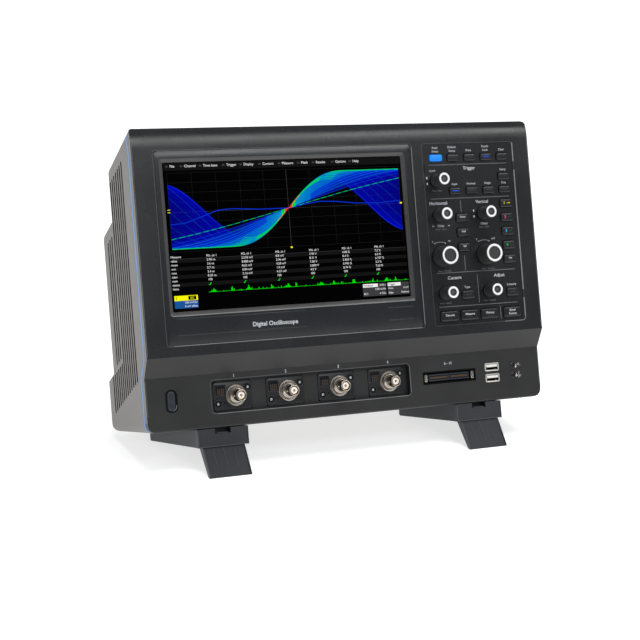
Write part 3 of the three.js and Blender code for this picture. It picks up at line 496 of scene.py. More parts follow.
PLATE_Y = case_box("display_surround")[0].y
GLASS_Y = case_box("touch_display")[0].y
surround_low, surround_high = case_box("display_surround")
SCREEN_LEFT, SCREEN_RIGHT = -163.3, 58.8
SCREEN_BOTTOM, SCREEN_TOP = 99.6, 225.3

surround = Drawing()
screen_x, screen_z = (SCREEN_LEFT + SCREEN_RIGHT) / 2, (SCREEN_BOTTOM + SCREEN_TOP) / 2
screen_size = (SCREEN_RIGHT - SCREEN_LEFT, SCREEN_TOP - SCREEN_BOTTOM)
plate_x, plate_z = (surround_low.x + surround_high.x) / 2, (surround_low.z + surround_high.z) / 2
plate_size = (surround_high.x - surround_low.x, surround_high.z - surround_low.z)


def plate_ring(inset, y):
    width, height = (side - 2 * inset for side in plate_size)
    return [(x, y, z) for x, z in ring_of_rectangle(plate_x, plate_z, width, height, 4 - inset, 6)]


def lip_ring(outset, y):
    width, height = (side + 2 * outset for side in screen_size)
    return [(x, y, z) for x, z in ring_of_rectangle(screen_x, screen_z, width, height, 0.6 + outset / 2, 6)]


PLATE_EDGE = [(0, 2.4), (0, 0.5), (0.15, 0.12), (0.5, 0)]
LIP = [(3.3, 0), (3.1, 0.03), (0.3, 1.05), (0, 1.3), (0, 2.4)]
surround.skin(
    [plate_ring(inset, PLATE_Y + y) for inset, y in PLATE_EDGE] + [lip_ring(LIP[0][0], PLATE_Y)],
    "surround",
    closed=OPEN,
)
# The raised rim round the screen is drawn lighter than the plate, a painted highlight.
surround.skin([lip_ring(outset, PLATE_Y + y) for outset, y in LIP], "lip_highlight", closed=OPEN)
surround.made(
    "display_surround_finished", "case", "panel_plastic", ["display_surround"], smooth=60, recalculate=False
)


def bead(drawing, x, z, width, height, radius, y, look, half=0.42):
    """A fine raised line round a rectangle."""
    profile = [(-half, y + 0.25), (-half * 0.6, y - 0.05), (half * 0.6, y - 0.05), (half, y + 0.25)]
    drawing.slab(x, z, width, height, radius, profile, look, closed=OPEN)


# Painted highlights: a lighter bead round the plate, lighter lines along its right and lower edges, and lighter
# lines along the foot and the right side of the screen's rim.
outlines = Drawing()
bead(outlines, plate_x, plate_z, plate_size[0] + 0.2, plate_size[1] + 0.2, 2.2, 0, "outline_highlight")
left, right = plate_x - plate_size[0] / 2, plate_x + plate_size[0] / 2
bottom, top = plate_z - plate_size[1] / 2, plate_z + plate_size[1] / 2
outlines.wire([(right, -0.02, bottom + 3), (right, -0.02, top - 3)], 0.42, "painted_edge_highlight", sides=10)
outlines.wire([(left + 6, -0.02, bottom), (right - 3, -0.02, bottom)], 0.3, "painted_edge_highlight", sides=10)
lip_low = SCREEN_BOTTOM - 3.3
lip_foot = [(SCREEN_LEFT - 1, PLATE_Y, lip_low), (SCREEN_RIGHT + 3, PLATE_Y, lip_low)]
outlines.wire(lip_foot, 0.45, "painted_edge_highlight", sides=10)
lip_right = SCREEN_RIGHT + 3.1
lip_side = [(lip_right, PLATE_Y, lip_low + 1), (lip_right, PLATE_Y, SCREEN_TOP + 1)]
outlines.wire(lip_side, 0.45, "outline_highlight", sides=10)
BLANK_BADGE = (47.0, 85.6, 26.0, 11.0)
BLANK_NAMEPLATE = (-103.0, 87.0, 118.0, 14.0)
for blank in (BLANK_BADGE, BLANK_NAMEPLATE):
    bead(outlines, *blank, 0.6, PLATE_Y, "surround", half=0.5)
outlines.made("surround_outline_highlights", "case", "panel_plastic", smooth=60)

display = Drawing()
display.slab(
    screen_x, screen_z, screen_size[0] - 0.6, screen_size[1] - 0.6, 1.2,
    [(0, 4), (0, GLASS_Y + 0.2), (0.2, GLASS_Y)], "glass",
)
display.slab(screen_x, screen_z, *(side + 10 for side in screen_size), 2, [(0, 12.8), (0, 3.4)], "steel")
display.made("touch_display_finished", "case", "display_glass", ["touch_display"])

# ---- what the screen shows ----

GRID = {"left": -160.0, "right": 55.7, "bottom": 149.9, "top": 216.3}
GRID_X, GRID_Z = (GRID["left"] + GRID["right"]) / 2, (GRID["bottom"] + GRID["top"]) / 2
STEP_X, STEP_Z = (GRID["right"] - GRID["left"]) / 10, (GRID["top"] - GRID["bottom"]) / 8
PICTURE_Y = GLASS_Y - 0.01
MENU = (
    "File", "Channel", "Time base", "Trigger", "Display", "Cursors", "Measure", "Math", "Results", "Options",
    "Help",
)
MENU_X = (-161.2, -148.4, -131.5, -110.6, -94.9, -77.5, -59.5, -41.5, -27.6, -9.1, 7.6)

picture = Drawing()
picture.patch(SCREEN_LEFT + 1, SCREEN_RIGHT - 1, 218.4, SCREEN_TOP - 0.8, PICTURE_Y, "screen_menu")
for i in range(11):
    x = GRID["left"] + STEP_X * i
    look = "screen_dot" if i == 5 else "screen_grey"
    picture.band([(x, GRID["bottom"]), (x, GRID["top"])], 0.22, PICTURE_Y, look)
for i in range(9):
    z = GRID["bottom"] + STEP_Z * i
    if i == 4:
        for k in range(100):
            x = GRID["left"] + STEP_X * k / 10
            picture.patch(x, x + 1.1, z - 0.13, z + 0.13, PICTURE_Y, "screen_dot")
    else:
        picture.band([(GRID["left"], z), (GRID["right"], z)], 0.22, PICTURE_Y, "screen_grey")
for level in (-2.5, 2.5):
    for k in range(50):
        x = GRID["left"] + STEP_X * k / 5
        z = GRID_Z + level * STEP_Z
        picture.patch(x - 0.15, x + 0.15, z - 0.25, z + 0.25, PICTURE_Y, "screen_grey")
picture.made("screen_grid", "case", "display_glass", recalculate=False)

# The traces are a swept sine that starts every sweep at the trigger point, so they fan out from it.
AMPLITUDE = 30.9
SWEEP = 5.0
CELLS = 96
SLOWEST = 0.82
PHASES = [SLOWEST, 1.06, 1.14, 1.22] + [1.3 + 3.15 * k / 61 for k in range(62)]
LAYERS = ["trace_deep", "trace_blue", "trace_azure", "trace_cyan", "trace_green", "trace_red"]


def trace_level(phase, t):
    """The faster sweeps lose some of their height."""
    return AMPLITUDE * math.sin(phase * t / SWEEP) * (1 - 0.225 * max(0, (phase - 3.2) / 1.25) ** 2)


def trace_look(index, phase, t):
    """Where more sweeps pass through the same spot the display shows a hotter colour."""
    angle = phase * abs(t) / SWEEP
    fastest = index >= len(PHASES) - 7
    if abs(t) < 0.16 or (abs(t) < 0.5 and index == len(PHASES) - 1):
        return "trace_red"
    if abs(t) < 0.32 or (fastest and angle < 1.25):
        return "trace_green"
    if phase == SLOWEST:
        return "trace_green" if int(abs(t) * 9) % 3 else "trace_azure"
    if angle > 1.78:
        return "trace_blue" if index % 8 == 0 else "trace_deep"
    if angle > 1.42:
        return ("trace_cyan", "trace_green", "trace_cyan", "trace_azure")[index % 4]
    if fastest:
        return "trace_cyan"
    last = "trace_cyan" if phase > 2 or abs(t) < 1 else "trace_blue"
    return ("trace_azure", "trace_blue", "trace_deep", last)[index % 4]


traces = Drawing()
for look in LAYERS:
    traces.look(look)
for index, phase in enumerate(PHASES):
    times = [SWEEP * k / CELLS for k in range(-CELLS, CELLS + 1)]
    spots = [(GRID_X + STEP_X * t, GRID_Z + trace_level(phase, t)) for t in times]
    looks = [trace_look(index, phase, (a + b) / 2) for a, b in zip(times, times[1:])]
    start = 0
    for i in range(1, len(looks) + 1):
        if i == len(looks) or looks[i] != looks[start]:
            layer = LAYERS.index(looks[start])
            traces.band(spots[start : i + 1], 0.42, PICTURE_Y - 0.01 * (1 + layer), looks[start])
            start = i
runt = [(-5, -0.33), (-4.4, -0.3), (-3.6, -0.12), (-3.0, 0.02), (-2.4, 0.045), (-1.2, 0.0), (-0.5, 0.0), (0, 0)]
runt += [(0.8, 0.1), (1.4, 0.15), (2.1, 0.13), (3.0, 0.06), (4.0, 0.04), (5, 0.09)]
low_pulse = [(GRID_X + STEP_X * t, GRID_Z + AMPLITUDE * level) for t, level in runt]
traces.band(low_pulse, 0.7, PICTURE_Y - 0.025, "trace_blue")
traces.made("screen_traces", "case", "display_glass", recalculate=False)

ROW_TOP, ROW_PITCH = 145.7, 3.35
ROWS = ("Measure", "value", "mean", "min", "max", "sdev", "num", "status", "histo")
COLUMN_PITCH = 31.4
COLUMNS_X = [-130.5 + COLUMN_PITCH * k for k in range(6)]
UNITS = ("ns", "mV", "mV", "V", "%", "%")
readout = Drawing()
for i in range(1, 8, 2):
    z = ROW_TOP - ROW_PITCH * i
    readout.patch(SCREEN_LEFT + 1.5, SCREEN_RIGHT - 1.5, z - 1.6, z + 1.6, PICTURE_Y, "screen_row")
readout.band([(SCREEN_LEFT + 1.5, 144.0), (SCREEN_RIGHT - 1.5, 144.0)], 0.2, PICTURE_Y - 0.01, "screen_line")
for x, word in zip(MENU_X, MENU):
    readout.words(word, 3.1, x + 4.3, 221.9, PICTURE_Y, "screen_white", "LEFT")
    readout.slab(x + 1.6, 221.9, 2.3, 1.5, 0.5, [(0, PICTURE_Y), (0.1, PICTURE_Y - 0.03)], "screen_line")
for i, word in enumerate(ROWS):
    readout.words(word, 2.7, -162.2, ROW_TOP - ROW_PITCH * i, PICTURE_Y, "screen_white", "LEFT")
chance = random.Random(7)
for number, (x, unit) in enumerate(zip(COLUMNS_X, UNITS), start=1):
    readings = [f"{chance.uniform(0.1, 9):.{chance.choice((1, 2, 2, 3))}f} {unit}" for _ in range(5)]
    for i, word in enumerate([f"M{number}: ch 1"] + readings + ["100"]):
        readout.words(word, 2.7, x, ROW_TOP - ROW_PITCH * i, PICTURE_Y, "screen_white", "LEFT")
    tick = [(x + 0.5, 121.6), (x + 1.2, 121.0), (x + 2.6, 123.0)]
    readout.band(tick, 0.6, PICTURE_Y - 0.02, "screen_green")
    readout.band([(x, 115.0), (x + 31, 115.0)], 0.22, PICTURE_Y - 0.02, "screen_green")
    wide, narrow = chance.uniform(6, 15), chance.uniform(22, 38)
    for k in range(42):
        near = math.exp(-(((k - wide) / 2.0) ** 2)) * 3.0 + math.exp(-(((k - narrow) / 0.9) ** 2)) * 4.2
        tall = 0.12 + near * chance.uniform(0.6, 1) + (chance.random() ** 9) * 1.8
        left = x + 0.72 * k
        readout.patch(left, left + 0.6, 115.0, 115.0 + tall, PICTURE_Y - 0.02, "screen_green")
readout.patch(-161.6, -140.8, 109.0, 113.3, PICTURE_Y - 0.01, "screen_yellow")
readout.patch(-161.6, -140.8, 102.6, 109.0, PICTURE_Y - 0.01, "screen_blue_box")
readout.patch(-149.2, -142.2, 109.5, 112.8, PICTURE_Y - 0.02, "glass")
readout.words("1", 3.2, -160.6, 111.1, PICTURE_Y - 0.02, "glass", "LEFT", 0.04)
readout.words("DC", 2.4, -145.7, 111.1, PICTURE_Y - 0.03, "screen_yellow", weight=0.03)
for word, z in (("500 mV/div", 107.3), ("0 mV offset", 104.2)):
    readout.words(word, 2.4, -141.4, z, PICTURE_Y - 0.02, "screen_white", "RIGHT")
for left, right in ((12.2, 35.0), (36.4, 57.5)):
    readout.patch(left, right, 102.3, 113.4, PICTURE_Y - 0.01, "screen_panel")
    readout.patch(left + 0.3, right - 8, 110.2, 113.2, PICTURE_Y - 0.02, "screen_white")
SETTINGS = (
    ("Timebase", 12.9, 111.7, "LEFT"),
    ("0.00 s", 34.6, 111.7, "RIGHT"),
    ("2.00 ns/div", 34.6, 108.3, "RIGHT"),
    ("80 S", 12.9, 104.4, "LEFT"),
    ("4 GS/s", 34.6, 104.4, "RIGHT"),
    ("Trigger", 37.1, 111.7, "LEFT"),
    ("Auto", 37.1, 108.3, "LEFT"),
    ("0 mV", 57.1, 108.3, "RIGHT"),
    ("Edge", 37.1, 104.4, "LEFT"),
    ("Positive", 57.1, 104.4, "RIGHT"),
)
for word, x, z, align in SETTINGS:
    look, weight = ("glass", 0.03) if word in ("Timebase", "Trigger") else ("screen_white", 0.0)
    lift = 0.03 if z > 110 else 0.02
    readout.words(word, 2.4, x, z, PICTURE_Y - lift, look, align, weight)
for left, right, z, thick in (
    (GRID_X - 0.9, GRID_X + 0.9, 149.1, 1.3),
    (GRID["right"] - 0.6, GRID["right"] + 1.4, 183.6, 1.3),
    (GRID["left"] - 1.7, GRID["left"] + 0.7, 183.2, 0.5),
    (GRID["left"] - 1.7, GRID["left"] + 0.7, 185.4, 0.5),
):
    readout.band([(left, z), (right, z)], thick, PICTURE_Y - 0.06, "screen_yellow")
readout.made("screen_readout", "case", "display_glass", recalculate=False)

# ---- control panel ----

refined("control_panel", "panel", width=0.22)
panel_low, panel_high = case_box("control_panel")
panel_centre = case_centre("control_panel")
dressed("control_board", "solder_mask")

PRINT_Y = PLATE_Y - 0.01
legend = Drawing()
for z in (216.0, 185.5, 118.6, 88.2):
    legend.band([(85.8, z), (166.3, z)], 0.55, PRINT_Y, "faint_ink")
for x, top, bottom in ((115.5, 183.2, 172.8), (115.2, 133.5, 119.9), (126.8, 115.8, 90.0), (148.0, 85.6, 74.2)):
    legend.band([(x, top), (x, bottom)], 0.55, PRINT_Y, "faint_ink")
HEADINGS = (
    ("Trigger", 126.9, 212.4),
    ("Horizontal", 92.9, 181.4),
    ("Vertical", 137.5, 181.5),
    ("Cursors", 103.4, 113.8),
    ("Adjust", 149.5, 113.8),
)
for word, x, z in HEADINGS:
    legend.words(word, 4.2, x, z, PRINT_Y, "ink", weight=0.05)
ABOVE_KEYS = (
    ("key_auto_setup", "Auto\nSetup"),
    ("key_default_setup", "Default\nSetup"),
    ("key_print", "Print"),
    ("key_touch_lock", "Touch\nLock"),
    ("key_clear", "Clear"),
    ("key_trigger_setup", "Setup"),
    ("key_trigger_auto", "Auto"),
    ("key_trigger_normal", "Normal"),
    ("key_trigger_single", "Single"),
    ("key_trigger_stop", "Stop"),
    ("key_cursor_type", "Type"),
    ("key_intensity", "Intensity"),
)
for node, text in ABOVE_KEYS:
    low, high = case_box(node)
    rise = 2.9 if "\n" not in text else 6.2
    for k, word in enumerate(text.split("\n")):
        legend.words(word, 2.9, (low.x + high.x) / 2, high.z + rise - 3.3 * k, PRINT_Y, "ink", weight=0.0)
BY_KNOBS = (
    ("level_knob", "Level", -3.2, 9.0, "ink"),
    ("level_knob", "Push - Find", 0.2, -9.2, "faint_ink"),
    ("delay_knob", "Delay", 1.4, -9.8, "ink"),
    ("delay_knob", "Push - Zero", 1.4, -12.9, "faint_ink"),
    ("offset_knob", "Offset", 0.6, -9.4, "ink"),
    ("offset_knob", "Push - Zero", 0.6, -12.5, "faint_ink"),
    ("time_scale_knob", "Push - Variable", 1.6, -13.2, "faint_ink"),
    ("volt_scale_knob", "Push - Variable", 1.6, -13.2, "faint_ink"),
    ("cursor_knob", "Push - Select", 0.2, -9.0, "faint_ink"),
    ("adjust_knob", "Push - Coarse", 0.2, -9.0, "faint_ink"),
)
for node, word, across, rise, look in BY_KNOBS:
    centre = case_centre(node)
    size = 2.9 if look == "ink" else 2.2
    legend.words(word, size, centre.x + across, centre.z + rise, PRINT_Y, look)
for node, left_word, right_word in (("time_scale_knob", "s", "ns"), ("volt_scale_knob", "V", "mV")):
    centre = case_centre(node)
    arc = [
        (centre.x - 1.0 + 13.2 * math.sin(angle), centre.z + 13.0 * math.cos(angle))
        for angle in [math.radians(-23 + 46 * k / 12) for k in range(13)]
    ]
    legend.band(arc, 0.3, PRINT_Y, "ink")
    for end, before in ((arc[0], arc[1]), (arc[-1], arc[-2])):
        tip = Vector(end) + (Vector(end) - Vector(before)).normalized() * 0.9
        side = (Vector(end) - Vector(before)).orthogonal().normalized() * 0.8
        root = Vector(end)
        head = [(spot.x, PRINT_Y, spot.y) for spot in (tip, root + side, root - side)]
        legend.skin([head], "ink", closed=(True, False))
    legend.words(left_word, 2.9, centre.x - 8.4, centre.z + 13.8, PRINT_Y, "ink", weight=0.0)
    legend.words(right_word, 2.9, centre.x + 8.6, centre.z + 13.8, PRINT_Y, "ink", weight=0.0)
for node in ("level_knob", "offset_knob"):
    centre = case_centre(node)
    for z in (centre.z - 2.6, centre.z + 2.6):
        legend.patch(centre.x - 9.6, centre.x - 8.6, z - 1, z + 1, PRINT_Y, "ink")
centre = case_centre("delay_knob")
for x in (centre.x - 6.4, centre.x + 9.4):
    legend.patch(x - 0.9, x + 0.9, centre.z - 10.1, centre.z - 9.5, PRINT_Y, "ink")
legend.made("panel_legend", "case", "panel_plastic", recalculate=False)

# A lighter bead round the panel and a line along its right and lower edges are painted highlights; the line is
# broken by two snap slots on each side, where near-black patches are painted shade.
edging = Drawing()
panel_size = (panel_high.x - panel_low.x, panel_high.z - panel_low.z)
bead(edging, panel_centre.x, panel_centre.z, *panel_size, 2.4, 0.05, "lip_highlight", half=0.35)
SLOTS = ((209.4, 217.2), (92.0, 99.4))
EDGE_LEFT, EDGE_RIGHT = panel_low.x - 0.15, panel_high.x + 0.15
upper_slot, lower_slot = SLOTS
for bottom, top in (
    (panel_low.z + 3.5, lower_slot[0]), (lower_slot[1], upper_slot[0]), (upper_slot[1], panel_high.z - 1)
):
    edging.band([(EDGE_RIGHT, bottom), (EDGE_RIGHT, top)], 1.2, -0.02, "painted_edge_highlight")
corner = [
    (EDGE_RIGHT - 3 + 3 * math.cos(angle), panel_low.z + 2.9 - 3 * math.sin(angle))
    for angle in [math.pi / 2 * k / 6 for k in range(7)]
]
turning = [(EDGE_RIGHT, panel_low.z + 3.6)] + corner + [(EDGE_RIGHT - 22, panel_low.z - 0.1)]
edging.band(turning, 0.6, -0.02, "painted_edge_highlight")
for x, side in ((EDGE_LEFT, 1), (EDGE_RIGHT, -1)):
    for bottom, top in SLOTS:
        profile = [(0, PLATE_Y + 0.2), (0.1, PLATE_Y - 0.03)]
        edging.slab(x + side * 0.9, (bottom + top) / 2, 2.0, top - bottom, 0.3, profile, "well")
edging.made("panel_edging", "case", "panel_plastic", recalculate=False)

# ---- keys ----

KEY_FACES = {
    "key_touch_lock": "lit_blue",
    "key_trigger_auto": "lit_blue",
    "key_trigger_normal": "bar_off",
    "key_trigger_single": "bar_off",
    "key_trigger_stop": "bar_off",
    "key_cursor_type": "bar_off",
    "key_intensity": "bar_off",
}
KEY_WORDS = {
    "key_zoom": "Zoom",
    "key_roll": "Roll",
    "key_reference": "Ref",
    "key_digital": "Dig",
    "key_decode": "Decode",
    "key_measure": "Measure",
    "key_history": "History",
    "key_generator": "Signal\nSource",
}
CHANNEL_LOOKS = ("lit_yellow", "lit_pink", "lit_cyan", "lit_green")

for node in sorted(name for name in frame["nodes"] if name.startswith("key_")):
    low, high = case_box(node)
    x, z = (low.x + high.x) / 2, (low.z + high.z) / 2
    width, height = high.x - low.x, high.z - low.z
    blue = node == "key_auto_setup"
    cap = Drawing()
    profile = [
        (0, high.y), (0, low.y + 1.15), (0.08, low.y + 0.75), (0.3, low.y + 0.35),
        (0.7, low.y + 0.1), (1.25, low.y - 0.02), (2.2, low.y - 0.08),
    ]
    cap.slab(x, z, width, height, 1.9, profile, "blue_key" if blue else "key")
    face = low.y - 0.09
    if node in KEY_FACES:
        lit = KEY_FACES[node]
        cap.slab(x, z, 5.6, 0.9, 0.4, [(0, face + 0.1), (0.05, face - 0.03)], lit)
    if node in KEY_WORDS:
        lines = KEY_WORDS[node].split("\n")
        size = 2.8 if width > 15 else 2.3
        for k, word in enumerate(lines):
            rise = 0.7 if len(lines) == 1 else 1.6 - 3.1 * k
            cap.words(word, size, x, z + rise, face, "ink", weight=0.05)
        if len(lines) == 1:
            cap.slab(x, z - 1.9, 5.0, 0.55, 0.25, [(0, face + 0.1), (0.05, face - 0.02)], "bar_off")
    if node.startswith("key_channel_"):
        number = int(node[-1])
        look = CHANNEL_LOOKS[number - 1]
        cap.words(str(number), 3.6, x - 2.0, z, face, look, weight=0.07)
        lit = look if number == 1 else "bar_off"
        cap.slab(x + 2.6, z, 3.2, 0.7, 0.3, [(0, face + 0.1), (0.05, face - 0.03)], lit)
    cap.made(node + "_cap", node, "blue_key_plastic" if blue else "key_plastic", [node], smooth=50)

# ---- knobs ----

for node in sorted(name for name in frame["nodes"] if name.endswith("_knob")):
    low, high = case_box(node)
    x, z = (low.x + high.x) / 2, (low.z + high.z) / 2
    radius = (high.x - low.x) / 2
    front, back = low.y, high.y
    large = radius > 8
    outer = 7.9 if large else 5.2
    inner = outer - (1.9 if large else 1.85)
    knob = Drawing()
    knob.turned(
        x, z,
        [
            (3.4, back), (radius - 0.2, back), (radius, back - 0.2), (radius, back - 1.4),
            (radius - 0.35, back - 1.9), (radius - 0.5, back - 4.0),
            (outer + 0.45, front + 1.0), (outer + 0.3, front + 0.35), (outer, front + 0.06),
        ],
        "knob", sides=56, closed=(True, False),
    )
    ring = [
        (outer, front + 0.06), (outer - 0.25, front - 0.04), (inner + 0.25, front - 0.04), (inner, front + 0.1)
    ]
    knob.turned(x, z, ring, "knob_ring", sides=56, closed=OPEN)
    knob.turned(
        x, z,
        [
            (inner, front + 0.1), (inner - 0.12, front + 0.6), (inner - 0.3, front + 0.85),
            (inner * 0.5, front + 0.9), (0.05, front + 0.9),
        ],
        "knob", sides=56, closed=(False, True),
    )
    if not large:
        dimple = [(1.2, front + 0.88), (0.95, front + 0.86), (0.85, front + 0.88)]
        knob.turned(x, z, dimple, "faint_ink", sides=24, closed=OPEN)
    bmesh.ops.remove_doubles(knob.mesh, verts=knob.mesh.verts, dist=1e-4)
    knob.made(node + "_turned", node, "knob_plastic", [node], smooth=45)
    dressed(node.replace("_knob", "_encoder_shaft"), "steel", width=0.2)

# ---- power button ----

LOWER_FACE_Y = 11.5
low, high = case_box("power_button")
button = Drawing()
x, z = (low.x + high.x) / 2, (low.z + high.z) / 2
button_size = (high.x - low.x, high.z - low.z)
button.slab(
    x, z, *button_size, 3.9,
    [(0, high.y), (0, low.y + 0.9), (0.15, low.y + 0.4), (0.6, low.y + 0.1), (1.4, low.y), (2.2, low.y - 0.04)],
    "button",
)
angles = [math.radians(35 + 290 * k / 20) for k in range(21)]
icon = [(x + 1.5 * math.sin(a), z + 1.5 * math.cos(a)) for a in angles]
button.band(icon, 0.3, low.y - 0.06, "button_line")
button.band([(x, z + 0.3), (x, z + 2.0)], 0.3, low.y - 0.06, "button_line")
bead(button, x, z, button_size[0] - 3.0, button_size[1] - 3.6, 2.4, low.y - 0.02, "button_line", half=0.22)
button.made("power_button_cap", "power_button", "key_plastic", ["power_button"], smooth=50)

# A painted glint along the lower right of the dish round the power button, and painted shade in the dish's gap.
dish = Drawing()
glint = [
    (x + 4.1 * math.cos(angle), LOWER_FACE_Y + 0.05, z - 4.2 + 4.1 * math.sin(angle))
    for angle in [math.radians(-75 + 85 * k / 12) for k in range(13)]
]
dish.wire(glint, 0.3, "painted_edge_highlight", sides=10)
profile = [(inset, LOWER_FACE_Y + y) for inset, y in ((-0.5, 0.1), (0, -0.04), (0.45, 0.3), (0.5, 1.4))]
dish.slab(x, z, *(side + 1.6 for side in button_size), 4.6, profile, "well", closed=OPEN)
dish.made("power_button_dish", "case", "bezel_plastic", smooth=60)

# ---- input modules ----


def bnc_flange(face):
    return [(9.3, face + 0.2), (9.3, face - 0.9), (9.0, face - 1.3), (8.2, face - 1.4), (7.9, face - 0.9)]


def bnc_washer(face):
    return [(7.9, face - 0.9), (7.4, face - 0.7), (6.6, face - 0.8), (6.3, face - 1.6)]


def bnc_barrel(face, barrel):
    return [
        (6.3, face - 1.6), (6.1, face - 2.3), (5.6, face - 2.5), (5.3, face - 3.2), (4.9, face - 3.4),
        (4.9, barrel + 7.4), (5.1, barrel + 7.1), (5.1, barrel + 5.8), (4.9, barrel + 5.6), (4.9, barrel + 0.5),
        (4.75, barrel + 0.1), (4.4, barrel), (4.15, barrel + 0.12), (4.05, barrel + 0.4),
    ]


def bnc_insulator(barrel):
    return [
        (3.1, barrel + 9), (3.1, barrel + 0.9), (2.9, barrel + 0.6), (1.2, barrel + 0.6), (1.1, barrel + 1.0),
        (1.1, barrel + 8.6),
    ]


def bnc_pin(barrel):
    return [
        (0.85, barrel + 9), (0.85, barrel + 0.6), (0.7, barrel + 0.4), (0.35, barrel + 0.4), (0.3, barrel + 1.2)
    ]


def screw_rim(face):
    return [(3.6, face + 0.1), (3.6, face - 0.4), (3.3, face - 0.65), (3.0, face - 0.65), (2.8, face - 0.1)]


def screw_head(face):
    return [
        (1.25, face), (1.25, face - 0.6), (1.0, face - 0.85), (0.6, face - 0.88), (0.5, face - 0.3),
        (0.05, face - 0.2),
    ]


MODULE_FACE_Y = 16.5
MODULE_CAN = (16, 10.7)
for number in (1, 2, 3, 4):
    node = f"input_module_{number}"
    low, high = case_box(node)
    plate_x = (low.x + high.x) / 2
    plate_width, plate_height = high.x - low.x, high.z - low.z
    z = (low.z + high.z) / 2
    x = plate_x + 2.8
    face = MODULE_FACE_Y
    can_x, can_z = MODULE_CAN
    module = Drawing()
    module.slab(
        plate_x, z, plate_width, plate_height, 2.5,
        [(0, face + 3), (0, face + 0.5), (0.2, face + 0.12), (0.55, face)], "module",
    )
    bead(module, plate_x, z, plate_width - 1.0, plate_height - 1.0, 2.4, face, "port_frame", half=0.5)
    module.block((plate_x - can_x, face + 3, z - can_z), (plate_x + can_x, high.y, z + can_z), "steel", 0.4)
    barrel = low.y
    module.turned(x, z, bnc_flange(face), "nickel", sides=48, closed=(True, False))
    # The washer ring inside the flange is a darker nickel, painted shade.
    module.turned(x, z, bnc_washer(face), "shaded_nickel", sides=48, closed=OPEN)
    module.turned(x, z, bnc_barrel(face, barrel), "nickel", sides=48, closed=OPEN)
    lining = [(4.05, barrel + 0.4), (4.0, barrel + 3.0), (3.9, barrel + 9.4)]
    module.turned(x, z, lining, "gold", sides=48, closed=(False, True))
    module.turned(x, z, bnc_insulator(barrel), "dielectric", sides=36)
    module.turned(x, z, bnc_pin(barrel), "gold", sides=24)
    for side in (-1, 1):
        lug = [(x + side * out, barrel + 4.6, z) for out in (4.4, 5.5, 5.7)]
        module.wire(lug, 1.0, "nickel", sides=16)
    # Each screw sits in a recess whose near-black floor is painted shade.
    for across, rise in ((-13.7, -6.3), (14.0, 6.4)):
        sx, sz = plate_x + across, z + rise
        module.turned(sx, sz, screw_rim(face), "port_frame", sides=32, closed=OPEN)
        module.turned(sx, sz, [(2.8, face - 0.1), (0.05, face - 0.08)], "well", sides=32, closed=(False, True))
        module.turned(sx, sz, screw_head(face), "screw", sides=24)
    well_x, well_z = plate_x - 11.0, z + 5.2
    well_rim = [(0, face + 0.1), (0.1, face - 0.3), (0.45, face - 0.35)]
    module.slab(well_x, well_z, 10.2, 10.0, 1.0, well_rim, "port_frame")
    # The contact block's square floor is drawn near black, in the same finish as the recess shade.
    module.slab(well_x, well_z, 8.8, 8.6, 0.6, [(0, face - 0.36), (0.05, face - 0.38)], "well")
    for column in range(4):
        for row in range(4):
            cx, cz = well_x + 0.3 + (column - 1.5) * 1.7, well_z - 1.3 + (row - 1.5) * 1.35
            module.slab(cx, cz, 1.15, 0.9, 0.2, [(0, face - 0.37), (0.12, face - 0.5)], "contact")
    # A small hole, painted as a near-black disc of shade.
    module.turned(plate_x - 7.6, z - 5.6, [(0.9, face + 0.05), (0.9, face - 0.06)], "well", sides=20)
    module.made(node + "_finished", "case", "connector_nickel", [node], smooth=45)

POCKET_LEFT, POCKET_RIGHT = -132.0, 56.1
POCKET_BOTTOM, POCKET_TOP = 12.3, 40.1
pocket_x, pocket_z = (POCKET_LEFT + POCKET_RIGHT) / 2, (POCKET_BOTTOM + POCKET_TOP) / 2
pocket_size = (POCKET_RIGHT - POCKET_LEFT, POCKET_TOP - POCKET_BOTTOM)
rim_y, rim_right, rim_bottom = LOWER_FACE_Y - 0.02, POCKET_RIGHT + 0.45, POCKET_BOTTOM - 0.45
# Painted highlights round the pocket: a lighter bead all round, and lighter lines along its right and lower
# edges.
pocket = Drawing()
bead(pocket, pocket_x, pocket_z, *(side + 0.9 for side in pocket_size), 3.4, LOWER_FACE_Y, "outline_highlight", half=0.5)
right_edge = [(rim_right, rim_y, POCKET_BOTTOM + 2.8), (rim_right, rim_y, POCKET_TOP - 3)]
pocket.wire(right_edge, 0.35, "painted_edge_highlight", sides=10)
lower_edge = [(POCKET_LEFT + 4, rim_y, rim_bottom), (POCKET_RIGHT - 3, rim_y, rim_bottom)]
pocket.wire(lower_edge, 0.3, "painted_edge_highlight", sides=10)
pocket.made("pocket_rim", "case", "bezel_plastic", smooth=60)

LEGEND_Y = LOWER_FACE_Y - 0.01
numerals = Drawing()
for number, x in enumerate((-110.7, -62.8, -12.8, 35.3), start=1):
    numerals.words(str(number), 3.6, x, 43.0, LEGEND_Y, "ink", weight=0.05)
numerals.words("0 - 15", 3.3, 95.5, 37.4, LEGEND_Y, "ink", weight=0.03)
square_wave = [(165.8, 30.2), (167.2, 30.2), (167.2, 32.2), (168.8, 32.2), (168.8, 30.2), (170.4, 30.2)]
for first, second in zip(square_wave, square_wave[1:]):
    numerals.band([first, second], 0.35, LEGEND_Y, "ink")
EARTH_X = 168.2
for z, half in ((21.0, 2.2), (20.1, 1.4), (19.3, 0.6)):
    numerals.band([(EARTH_X - half, z), (EARTH_X + half, z)], 0.35, LEGEND_Y, "ink")
numerals.band([(EARTH_X, 21.0), (EARTH_X, 24.6)], 0.35, LEGEND_Y, "ink")
numerals.words("Digital Oscilloscope", 5.2, -73, 85.0, PLATE_Y - 0.01, "ink", weight=0.08)
numerals.made("front_legend", "case", "bezel_plastic", recalculate=False)

# ---- front connectors ----

